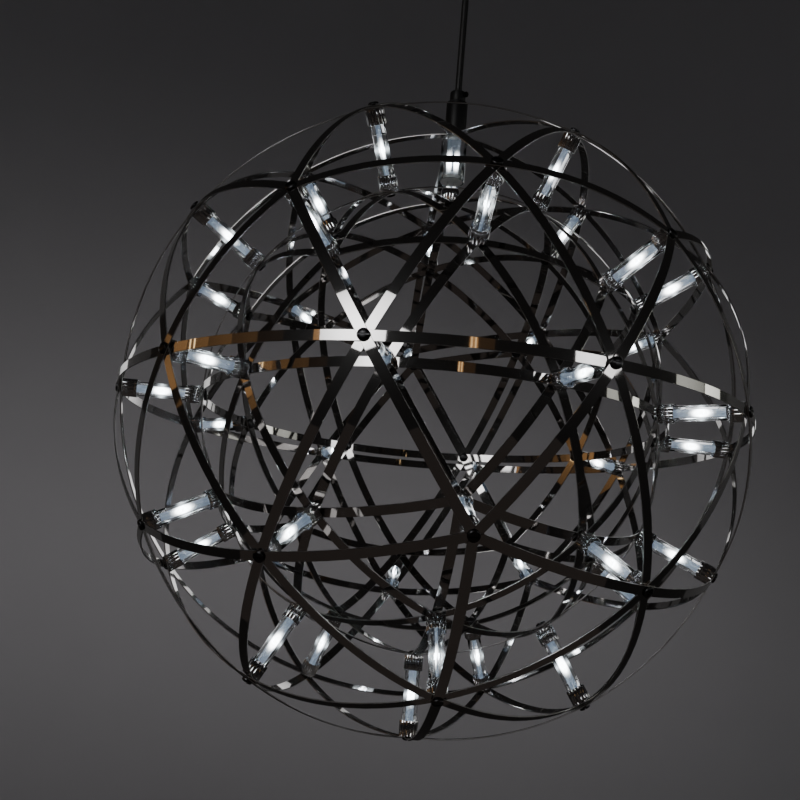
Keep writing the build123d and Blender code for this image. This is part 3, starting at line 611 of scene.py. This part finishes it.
FOAM = plain_finish("foam_pad", (0.16, 0.16, 0.16), (0.24, 0.24, 0.24), rough=0.75, scale=2500)

# Directions of the crossings from the balls' centre


def direction(latitude, azimuth):
    """The way out from the centre at a latitude and an azimuth in degrees."""
    level = cos(radians(latitude))
    return Vector((level * cos(radians(azimuth)), level * sin(radians(azimuth)), sin(radians(latitude))))


ALMOST_NOTHING = 0.01
NEIGHBOUR_DOT = 0.4
RING_LATITUDE = degrees(atan(0.5))
RING_STEP = 72
CROSSING_STEP = RING_STEP / 2
EDGE_HALF_ANGLE = atan(2) / 2
top_pole = Vector((0, 0, 1))
bottom_pole = Vector((0, 0, -1))
upper_ring = [direction(RING_LATITUDE, BALL_TURN + k * RING_STEP) for k in range(5)]
lower_ring = [direction(-RING_LATITUDE, BALL_TURN + (k + 0.5) * RING_STEP) for k in range(5)]
five_way = [top_pole] + upper_ring + lower_ring + [bottom_pole]
edges = [pair for pair in combinations(five_way, 2) if pair[0].dot(pair[1]) > NEIGHBOUR_DOT]
six_way = [(a + b).normalized() for a, b in edges]
hoop_axes = [top_pole] + upper_ring


def placed(along_x, along_z, origin=BALL_CENTRE):
    """The matrix of a frame from its X and Z directions."""
    z = along_z.normalized()
    x = along_x.normalized()
    y = z.cross(x)
    turn = Matrix((x, y, z)).transposed()
    return Matrix.Translation(origin) @ turn.to_4x4()


def lamp_place(way):
    """Z outwards along a lamp, X level across its board."""
    level = top_pole.cross(way)
    if level.length < ALMOST_NOTHING:
        level = Vector((0, 1, 0))
    return placed(level, way)


def hoop_place(axis):
    """Z along a hoop's axis, X through a crossing where it passes over."""
    for first, second in edges:
        middle = first + second
        along = second - first
        run = axis.cross(middle)
        if abs(axis.dot(middle)) > ALMOST_NOTHING:
            continue
        if run.dot(along) < 0:
            run = -run
        if along.cross(run).dot(middle) > 0:
            return placed(middle, axis)


# Polished strips


def add_strip_section(name, place, turn):
    """An open rectangle of the strip's section, its thickness along X and its width along Z."""
    deselect()
    bpy.ops.mesh.primitive_plane_add(size=1, location=place, rotation=(pi / 2, 0, turn))
    bpy.context.object.scale = (STRIP_THICKNESS, STRIP_WIDTH, 1)
    piece = begin(name)
    edit(piece)
    bpy.ops.mesh.select_all(action="SELECT")
    bpy.ops.mesh.delete(type="ONLY_FACE")
    bpy.ops.mesh.select_mode(type="VERT")
    bpy.ops.mesh.select_all(action="SELECT")
    return piece


def mark_cut_edges(piece, axis):
    """An attribute that is 1 on the strip's two cut sides, which face along the axis, and 0 elsewhere."""
    side = STRIP_WIDTH / 2 - STRIP_EDGE / 10
    marks = piece.data.attributes.new("cut_edge", "FLOAT", "POINT")
    marks.data.foreach_set("value", [float(abs(vertex.co[axis]) > side) for vertex in piece.data.vertices])


def make_hoop(name, over_radius):
    """A closed hoop of ten arcs that pass over and under at alternate crossings."""
    half = radians(CROSSING_STEP / 2)
    shift = LAYER_STEP / (2 - 2 * cos(half))
    over = over_radius - shift
    middle = over + STRIP_THICKNESS / 2
    piece = add_strip_section(name, (shift + middle * cos(half), -middle * sin(half), 0), -half)
    for k in range(5):
        turn = radians(k * RING_STEP)
        back = turn + radians(CROSSING_STEP)
        for centre in ((shift * cos(turn), shift * sin(turn)), (-shift * cos(back), -shift * sin(back))):
            bpy.ops.mesh.spin(
                steps=HOOP_ARC_STEPS, angle=-radians(CROSSING_STEP), center=(*centre, 0), axis=(0, 0, 1)
            )
    outwards(piece)
    bevel(piece, STRIP_EDGE)
    mark_cut_edges(piece, 2)
    return smooth(piece, 20)


def make_edge_strip(name, end_radius, middle_radius, stem_gap=0):
    """A strip between two five-way crossings with pointed ends, its first end cut square for a stem gap."""
    half_chord = end_radius * sin(EDGE_HALF_ANGLE)
    end_rise = end_radius * cos(EDGE_HALF_ANGLE)
    centre = (middle_radius**2 - half_chord**2 - end_rise**2) / (2 * (middle_radius - end_rise))
    bend = middle_radius - centre
    half_arc = atan2(half_chord, end_rise - centre) + STRIP_WIDTH / bend
    middle = bend + STRIP_THICKNESS / 2
    piece = add_strip_section(name, (middle * cos(half_arc), -middle * sin(half_arc), 0), -half_arc)
    bpy.ops.mesh.spin(steps=STRIP_ARC_STEPS, angle=-2 * half_arc, center=(0, 0, 0), axis=(0, 0, 1))
    bpy.ops.object.mode_set(mode="OBJECT")
    upright = Matrix(((0, 1, 0, 0), (0, 0, 1, 0), (1, 0, 0, centre), (0, 0, 0, 1)))
    piece.data.transform(upright)
    outwards(piece)
    wedge = radians(RING_STEP / 2)
    point = MITRE_GAP / 2 / sin(wedge)
    for side in (-1, 1):
        out = Vector((side * sin(EDGE_HALF_ANGLE), 0, cos(EDGE_HALF_ANGLE)))
        inwards = Vector((-side * cos(EDGE_HALF_ANGLE), 0, sin(EDGE_HALF_ANGLE)))
        for edge_side in (-1, 1):
            across = Vector((0, edge_side, 0))
            tip = out * end_radius + inwards * point
            mitre = across * cos(wedge) - inwards * sin(wedge)
            cut(piece, tip, mitre, clear_outer=True, use_fill=True)
        if stem_gap and side < 0:
            stem_side = out * end_radius + inwards * stem_gap
            cut(piece, stem_side, -inwards, clear_outer=True, use_fill=True)
    outwards(piece)
    bevel(piece, STRIP_EDGE)
    mark_cut_edges(piece, 1)
    return smooth(piece, 20)


def make_balls():
    """Both balls: six hoops and thirty edge strips each."""
    rows = {
        "crown": [e for e in edges if top_pole in e],
        "upper": [e for e in edges if e[0] in upper_ring and e[1] in upper_ring],
        "waist": [e for e in edges if e[0] in upper_ring and e[1] in lower_ring],
        "lower": [e for e in edges if e[0] in lower_ring and e[1] in lower_ring],
        "base": [e for e in edges if bottom_pole in e],
    }
    inner_face = INNER_RADIUS - STRIP_THICKNESS
    sizes = {
        "outer": (OUTER_SEAT + LAYER_STEP, OUTER_SEAT, OUTER_SEAT + 2 * LAYER_STEP),
        "inner": (inner_face, inner_face, INNER_SIX_WAY_FACE),
    }
    for ball, (over_radius, end_radius, middle_radius) in sizes.items():
        hoop = make_hoop("hoop_pattern", over_radius)
        for number, axis in enumerate(hoop_axes, start=1):
            piece = copies(hoop, [hoop_place(axis)], f"polished_{ball}_hoop_{number}")
            settle(piece, STEEL, "globe", f"{ball}_hoop_{number}")
        drop(hoop)
        strip = make_edge_strip("strip_pattern", end_radius, middle_radius)
        stem_gap = FEED_MOUTH_RADIUS if ball == "outer" else 0
        crown = make_edge_strip("crown_pattern", end_radius, middle_radius, stem_gap)
        for row, row_edges in rows.items():
            places = [placed(e[1] - e[0], e[0] + e[1]) for e in row_edges]
            piece = copies(crown if row == "crown" else strip, places, f"polished_{ball}_{row}_strips")
            settle(piece, STEEL, "globe", f"{ball}_{row}_strips")
        drop(strip)
        drop(crown)


# Tube lamps


def along_map(piece, middle, reach, width):
    """A UV map along the piece's Z, for a reach each way from a middle, and across its width along Y."""
    layer = piece.data.uv_layers.new(name="along")
    for loop in piece.data.loops:
        spot = piece.data.vertices[loop.vertex_index].co
        layer.data[loop.index].uv = (0.5 + spot.y / width, 0.5 + (spot.z - middle) / (2 * reach))


def turned(name, profile, sides=64):
    """A ring turned about Z: a circle extruded through a closed profile of radius and height."""
    radius, height = profile[0]
    deselect()
    bpy.ops.mesh.primitive_circle_add(vertices=sides, radius=radius, location=(0, 0, height))
    piece = begin(name)
    edit(piece, "EDGE")
    bpy.ops.mesh.select_all(action="SELECT")
    extrude_through(profile + profile[:1])
    outwards(piece)
    return piece


def rounding(centre_radius, centre_height, bend, start, end, steps=8):
    """Profile points along an arc, with its angles in degrees from outwards to upwards."""
    angles = [radians(start + (end - start) * step / steps) for step in range(steps + 1)]
    return [(centre_radius + bend * cos(angle), centre_height + bend * sin(angle)) for angle in angles]


def make_cap(name, end, inwards):
    """A cap of rounded ribs with a tube socket. inwards is -1 or 1, from its flat end to its mouth."""
    points = FLUTES * FLUTE_STEPS

    def rib_step(vertex):
        return round(atan2(vertex.co.y, vertex.co.x) / (2 * pi) * points) % FLUTE_STEPS

    deselect()
    bpy.ops.mesh.primitive_circle_add(vertices=points, radius=CAP_RADIUS, fill_type="NGON")
    piece = begin(name)
    for step in range(1, FLUTE_STEPS):
        depth = (1 - abs(2 * step / FLUTE_STEPS - 1)) ** 2
        pick(piece, "vertices", lambda v: rib_step(v) == step)
        shrink = 1 - depth * FLUTE_DEPTH / CAP_RADIUS
        bpy.ops.transform.resize(value=(shrink, shrink, 1), center_override=(0, 0, 0))
    edit(piece)
    bpy.ops.mesh.select_all(action="SELECT")
    bpy.ops.mesh.extrude_region_move(TRANSFORM_OT_translate={"value": (0, 0, CAP_LENGTH)})
    pick(piece, "polygons", lambda f: f.center.z > CAP_LENGTH * 0.99 and abs(f.normal.z) > 0.9)
    bpy.ops.mesh.inset(thickness=CAP_RADIUS - FLUTE_DEPTH - SOCKET_RADIUS)
    pick(piece, "polygons", lambda f: f.center.z > CAP_LENGTH * 0.99 and len(f.vertices) > 8)
    bpy.ops.mesh.extrude_region_move(TRANSFORM_OT_translate={"value": (0, 0, -SOCKET_DEPTH)})
    outwards(piece)
    bevel(piece, CAP_EDGE, angle=70)
    smooth(piece, 35)
    turn = Matrix.Translation((0, 0, end))
    if inwards < 0:
        turn = turn @ Matrix.Rotation(pi, 4, "X")
    piece.data.transform(turn)
    return piece


def make_tube(name, radius, wall, low, high, led):
    """A clear drawn tube with fire-rounded ends, and rings of vertices beside its LED."""
    deselect()
    middle = (low + high) / 2
    bpy.ops.mesh.primitive_cylinder_add(
        vertices=TUBE_SIDES, radius=radius, depth=high - low, end_fill_type="NOTHING", location=(0, 0, middle)
    )
    piece = begin(name)
    modifier = piece.modifiers.new("wall", "SOLIDIFY")
    modifier.thickness = wall
    modifier.offset = -1
    bpy.ops.object.modifier_apply(modifier="wall")
    bevel(piece, wall * 0.3, angle=60)
    for ring in range(-2, 3):
        cut(piece, (0, 0, led + ring * TUBE_RING_STEP), (0, 0, 1))
    bpy.ops.object.mode_set(mode="OBJECT")
    along_map(piece, led, GLOW_REACH, 2 * radius)
    return smooth(piece, 40)


def add_block(name, size, place, edge):
    """A small block with rounded edges."""
    deselect()
    bpy.ops.mesh.primitive_cube_add(size=1, location=place)
    bpy.context.object.scale = size
    piece = begin(name)
    bevel(piece, edge, 1)
    return piece


def make_board(name, width, low, high, led):
    """A narrow circuit board with resistors and solder pads on both faces, its UV map centred on its LED."""
    middle = (low + high) / 2
    pieces = [add_block(name, (BOARD_THICKNESS, width, high - low), (0, 0, middle), BOARD_EDGE)]
    for side in (-1, 1):
        face = side * BOARD_THICKNESS / 2
        for reach in RESISTOR_REACHES:
            place = (face, 0, middle + reach * (high - low) / 2)
            pieces.append(add_block("resistor", RESISTOR_SIZE, place, BOARD_EDGE))
        for pad in (-1, 1):
            place = (face, pad * width * PAD_ASIDE, middle + PAD_REACH * (high - low) / 2)
            pieces.append(add_block("pad", PAD_SIZE, place, PAD_EDGE))
    board = join(pieces, name)
    along_map(board, led, GLOW_REACH, width)
    return smooth(board)


def make_chips(name, middle):
    """Two LEDs, one on each face of a board: a frame with a sunk window."""
    pieces = []
    for side in (-1, 1):
        offset = side * (BOARD_THICKNESS + CHIP_HEIGHT) / 2
        deselect()
        bpy.ops.mesh.primitive_cube_add(size=1, location=(offset, 0, middle))
        bpy.context.object.scale = (CHIP_HEIGHT, CHIP_SIDE, CHIP_SIDE)
        chip = begin("chip")
        pick(chip, "polygons", lambda f: f.normal.x * side > 0.9)
        bpy.ops.mesh.inset(thickness=CHIP_FRAME)
        bpy.ops.mesh.extrude_region_move(TRANSFORM_OT_translate={"value": (-side * CHIP_SINK, 0, 0)})
        bpy.ops.object.mode_set(mode="OBJECT")
        pieces.append(chip)
    chips = join(pieces, name)
    along_map(chips, middle, CHIP_SIDE / 2, CHIP_SIDE)
    return chips


def make_screw(name):
    """A slotted pan-head screw, the underside of its head at Z 0 and its shank downwards."""
    deselect()
    bpy.ops.mesh.primitive_circle_add(vertices=SCREW_SIDES, radius=SCREW_HEAD_RADIUS, fill_type="NGON")
    head = begin(name)
    edit(head)
    bpy.ops.mesh.select_all(action="SELECT")
    bpy.ops.mesh.extrude_region_move(TRANSFORM_OT_translate={"value": (0, 0, SCREW_HEAD_RIM)})
    dome = SCREW_HEAD_HEIGHT - SCREW_HEAD_RIM
    turns = [pi / 2 * ring / SCREW_DOME_RINGS for ring in range(SCREW_DOME_RINGS)]
    extrude_through([(cos(turn), dome * sin(turn)) for turn in turns])
    outwards(head)
    deselect()
    slot_middle = SCREW_HEAD_HEIGHT + (SLOT_OVERCUT - SLOT_DEPTH) / 2
    bpy.ops.mesh.primitive_cube_add(size=1, location=(0, 0, slot_middle))
    bpy.context.object.scale = (3 * SCREW_HEAD_RADIUS, SLOT_WIDTH, SLOT_DEPTH + SLOT_OVERCUT)
    cutter = begin("slot_cutter")
    only(head)
    modifier = head.modifiers.new("slot", "BOOLEAN")
    modifier.object = cutter
    modifier.operation = "DIFFERENCE"
    bpy.ops.object.modifier_apply(modifier="slot")
    drop(cutter)
    deselect()
    bpy.ops.mesh.primitive_cylinder_add(
        vertices=SHANK_SIDES, radius=SCREW_RADIUS, depth=SCREW_LENGTH, location=(0, 0, -SCREW_LENGTH / 2)
    )
    shank = begin("shank")
    bevel(shank, SHANK_EDGE, segments=1, angle=60)
    return smooth(join([head, shank], name), 35)


def make_lamps():
    """Forty-one lamps, the caps at both ends and the screws that hold them to the balls."""
    lamp_ways = five_way[1:] + six_way
    places = [lamp_place(way) for way in lamp_ways]
    outer_cap = make_cap("cap", OUTER_CAP_END, -1)
    inner_cap = make_cap("cap", INNER_CAP_END, 1)
    tube = make_tube("tube", TUBE_RADIUS, TUBE_WALL, LAMP_FOOT, LAMP_TOP, LAMP_MIDDLE)
    board = make_board("board", BOARD_WIDTH, LAMP_FOOT, LAMP_TOP, LAMP_MIDDLE)
    chips = make_chips("chips", LAMP_MIDDLE)
    patterns = [
        (outer_cap, places, CHROME, "outer_lamp_caps"),
        (inner_cap, [lamp_place(top_pole)] + places, CHROME, "inner_lamp_caps"),
        (tube, places, LAMP_GLASS, "lamp_tubes"),
        (board, places, LAMP_BOARD, "lamp_boards"),
        (chips, places, GLOW, "lamp_led_chips"),
    ]
    screw = make_screw("screw")
    outer_seats = []
    for way in lamp_ways:
        seat = OUTER_RADIUS if way in six_way else OUTER_SEAT + STRIP_THICKNESS
        outer_seats.append(lamp_place(way) @ Matrix.Translation((0, 0, seat + SCREW_SEAT_GAP)))
    inner_seats = []
    for way in five_way + six_way:
        seat = INNER_SIX_WAY_FACE if way in six_way else INNER_RADIUS - STRIP_THICKNESS
        level = lamp_place(way).to_3x3().col[0]
        inner_seats.append(placed(level, -way, BALL_CENTRE + way * (seat - SCREW_SEAT_GAP)))
    for pattern, pattern_places, finish, node in patterns:
        settle(copies(pattern, pattern_places, "fine_" + node), finish, "globe", node)
        drop(pattern)
    settle(copies(screw, outer_seats, "fine_outer_screws"), DARK_SCREW, "globe", "outer_screws")
    settle(copies(screw, inner_seats, "fine_inner_screws"), DARK_SCREW, "globe", "inner_screws")
    drop(screw)


def make_feed():
    """The wide clear tube under the top crossing, with its board and LEDs facing front and back."""
    shoulder_radius = FEED_RADIUS - FEED_SHOULDER
    shoulder_height = FEED_TOP - FEED_SHOULDER
    outside = rounding(shoulder_radius, shoulder_height, FEED_SHOULDER, 0, 90)
    inside = rounding(shoulder_radius, shoulder_height, FEED_SHOULDER - FEED_WALL, 90, 0)
    profile = [(FEED_RADIUS, FEED_FOOT)] + outside
    profile += [(FEED_MOUTH_RADIUS, FEED_TOP), (FEED_MOUTH_RADIUS, FEED_TOP - FEED_WALL)]
    profile += inside + [(FEED_RADIUS - FEED_WALL, FEED_FOOT)]
    tube = turned("fine_feed_tube", profile, FEED_SIDES)
    bevel(tube, FEED_EDGE, angle=60)
    along_map(tube, FEED_CHIP_MIDDLE, GLOW_REACH, 2 * FEED_RADIUS)
    settle(smooth(tube, 40), FEED_GLASS, "globe", "feed_tube")
    facing = Matrix.Rotation(pi / 2, 4, "Z")
    board = make_board("board", FEED_BOARD_WIDTH, FEED_BOARD_FOOT, FEED_BOARD_TOP, FEED_CHIP_MIDDLE)
    settle(copies(board, [facing], "fine_feed_board"), FEED_BOARD, "globe", "feed_board")
    drop(board)
    chips = make_chips("chips", FEED_CHIP_MIDDLE)
    spots = [facing @ Matrix.Translation((0, side * FEED_CHIP_SPACING / 2, 0)) for side in (-1, 1)]
    settle(copies(chips, spots, "fine_feed_led_chips"), GLOW, "globe", "feed_led_chips")
    drop(chips)


def make_grip():
    """The black cord grip: a body and a narrower collar, both with broken edges."""
    body = turned("fine_grip_body", [
        (STEM_HOLE, GRIP_BASE), (GRIP_RADIUS - GRIP_EDGE, GRIP_BASE), (GRIP_RADIUS, GRIP_BASE + GRIP_EDGE),
        (GRIP_RADIUS, GRIP_TOP - GRIP_EDGE), (GRIP_RADIUS - GRIP_EDGE, GRIP_TOP), (GRIP_BORE, GRIP_TOP),
        (GRIP_BORE, GRIP_FLOOR), (STEM_HOLE, GRIP_FLOOR),
    ])
    collar = turned("fine_grip_collar", [
        (CORD_HOLE, SPIGOT_FOOT), (SPIGOT_RADIUS, SPIGOT_FOOT), (SPIGOT_RADIUS, COLLAR_FOOT),
        (COLLAR_RADIUS, COLLAR_FOOT), (COLLAR_RADIUS, COLLAR_TOP - GRIP_EDGE),
        (COLLAR_RADIUS - GRIP_EDGE, COLLAR_TOP), (CORD_HOLE, COLLAR_TOP),
    ])
    for piece, node in ((body, "grip_body"), (collar, "grip_collar")):
        bevel(piece, GRIP_ROUNDING)
        settle(smooth(piece, 30), BLACK, "globe", node)


def make_cord():
    """The straight drop of cord, as one spline through its route."""
    line = bpy.data.curves.new("hanging_cord", "CURVE")
    line.dimensions = "3D"
    spline = line.splines.new("NURBS")
    spline.points.add(len(CORD_POINTS) - 1)
    for spot, place in zip(spline.points, CORD_POINTS):
        spot.co = (*place, 1)
    spline.order_u = 3
    spline.use_endpoint_u = True
    line.bevel_depth = CORD_RADIUS
    line.bevel_resolution = CORD_ROUNDNESS
    line.use_fill_caps = True
    cord = bpy.data.objects.new("hanging_cord", line)
    bpy.context.collection.objects.link(cord)
    settle(cord, SHEATH, "cord", "cord_drop")


def dress_solids():
    """Finishes for the solids whose own shape shows."""
    finishes = {
        BLACK: ["cord_gland"],
        RUBBER: ["cord_boot"],
        SHEATH: ["cord_tail"],
        DARK_SCREW: ["grip_side_screw"],
        MOULDED_WHITE: ["feed_plug", "stem_bush", "led_driver", "terminal_block"],
        PLATED: [
            "feed_pins", "grip_stem", "stem_nut", "cord_stop", "ceiling_bracket", "canopy_studs", "gland_nut",
        ],
        STEEL: ["canopy_cap_nuts"],
        BRASS: ["earth_screw"],
        SATIN_BLACK: ["canopy_cup"],
        INSULATION: ["feed_wires", "output_leads", "mains_leads"],
        FOAM: ["driver_pad"],
    }
    for finish, nodes in finishes.items():
        for node in nodes:
            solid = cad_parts[node]
            solid.data.materials.clear()
            solid.data.materials.append(finish)


def pale_floor():
    """Matt pale studio paper."""
    finish = Finish("pale_floor")
    tint = finish.noise(3, detail=4, rough=0.6)
    finish.feed("Base Color", finish.mix(tint, (0.56, 0.56, 0.57), (0.6, 0.6, 0.61)))
    finish.feed("Roughness", 0.8 + 0.1 * finish.noise(9, rough=0.5))
    return finish.material


def soft_light(name, place, aim, size, power, colour, spread, mirrored=True):
    """A rectangular soft light aimed at a point, its light kept within the spread, in degrees."""
    lamp = bpy.data.lights.new(name, "AREA")
    lamp.shape = "RECTANGLE"
    lamp.size, lamp.size_y = size
    lamp.energy = power
    lamp.color = colour
    lamp.spread = radians(spread)
    holder = bpy.data.objects.new(name, lamp)
    place = Vector(place)
    back = (place - Vector(aim)).normalized()
    holder.matrix_world = Matrix.Translation(place) @ back.to_track_quat("Z", "Y").to_matrix().to_4x4()
    holder.visible_glossy = mirrored
    bpy.context.collection.objects.link(holder)


def round_the_ball(azimuth, elevation, distance):
    """A place seen from the ball's middle, with its azimuth from the camera's side towards the right."""
    level = cos(radians(elevation))
    way = Vector((level * sin(radians(azimuth)), -level * cos(radians(azimuth)), sin(radians(elevation))))
    return BALL_CENTRE + distance * way


def make_studio():
    """A pale round floor that sweeps up into a wall and a ceiling, and soft lights in a dim room."""
    deselect()
    bpy.ops.mesh.primitive_circle_add(vertices=FLOOR_SIDES, radius=FLOOR_RADIUS, location=(0, 0, WALL_TOP))
    floor = begin("pale_floor")
    edit(floor, "EDGE")
    bpy.ops.mesh.select_all(action="SELECT")
    profile = rounding(FLOOR_RADIUS, WALL_TOP - SWEEP_RADIUS, SWEEP_RADIUS, 90, 0, SWEEP_STEPS)
    profile += rounding(FLOOR_RADIUS, FLOOR_HEIGHT + SWEEP_RADIUS, SWEEP_RADIUS, 0, -90, SWEEP_STEPS)
    extrude_through(profile)
    bpy.ops.mesh.edge_face_add()
    pick(floor, "vertices", lambda v: v.co.z > WALL_TOP - 1 * MM)
    bpy.ops.mesh.edge_face_add()
    smooth(floor, 40)
    floor.data.materials.append(pale_floor())
    floor.visible_glossy = False
    world = bpy.data.worlds.new("studio")
    world.use_nodes = True
    world.node_tree.nodes["Background"].inputs["Color"].default_value = ROOM_DARK
    bpy.context.scene.world = world
    for name, place, aim, size, power, colour, spread in ROOM_LIGHTS:
        soft_light(name, place, aim, size, power, colour, spread, mirrored=False)
    for azimuth, power, spread in WALL_LIGHTS:
        place = round_the_ball(azimuth, WALL_LIGHT_ELEVATION, WALL_LIGHT_DISTANCE)
        aim = round_the_ball(azimuth, WALL_AIM_ELEVATION, WALL_RADIUS)
        soft_light("wall_light", place, aim, WALL_LIGHT_SIZE, power, WALL_WHITE, spread, mirrored=False)
    for azimuth in PANEL_AZIMUTHS:
        place = round_the_ball(azimuth, PANEL_ELEVATION, PANEL_DISTANCE)
        soft_light("back_panel", place, BALL_CENTRE, PANEL_SIZE, PANEL_POWER, PANEL_WHITE, ALL_ROUND)
    for name, azimuth, elevation, width, height, power, colour in SOFT_BOXES:
        place = round_the_ball(azimuth, elevation, BOX_DISTANCE)
        soft_light(name, place, BALL_CENTRE, (width, height), power, colour, BOX_SPREAD)
    soft_light("low_glow", LOW_PLACE, BALL_CENTRE, LOW_SIZE, LOW_POWER, LOW_ROSE, ALL_ROUND)


def place_camera():
    """The photo's camera: close to the ball and a little below its middle, looking up."""
    camera = bpy.data.cameras.new("camera")
    camera.lens = CAMERA_LENS
    camera.sensor_width = CAMERA_SENSOR
    camera.clip_start = CAMERA_NEAR
    holder = bpy.data.objects.new("camera", camera)
    up = CAMERA_RIGHT.cross(CAMERA_FORWARD)
    turn = Matrix((CAMERA_RIGHT, up, -CAMERA_FORWARD)).transposed()
    holder.matrix_world = Matrix.Translation(CAMERA_PLACE) @ turn.to_4x4()
    bpy.context.collection.objects.link(holder)
    bpy.context.scene.camera = holder


place_camera()
make_cord()
make_balls()
make_lamps()
make_feed()
make_grip()
dress_solids()
make_studio()
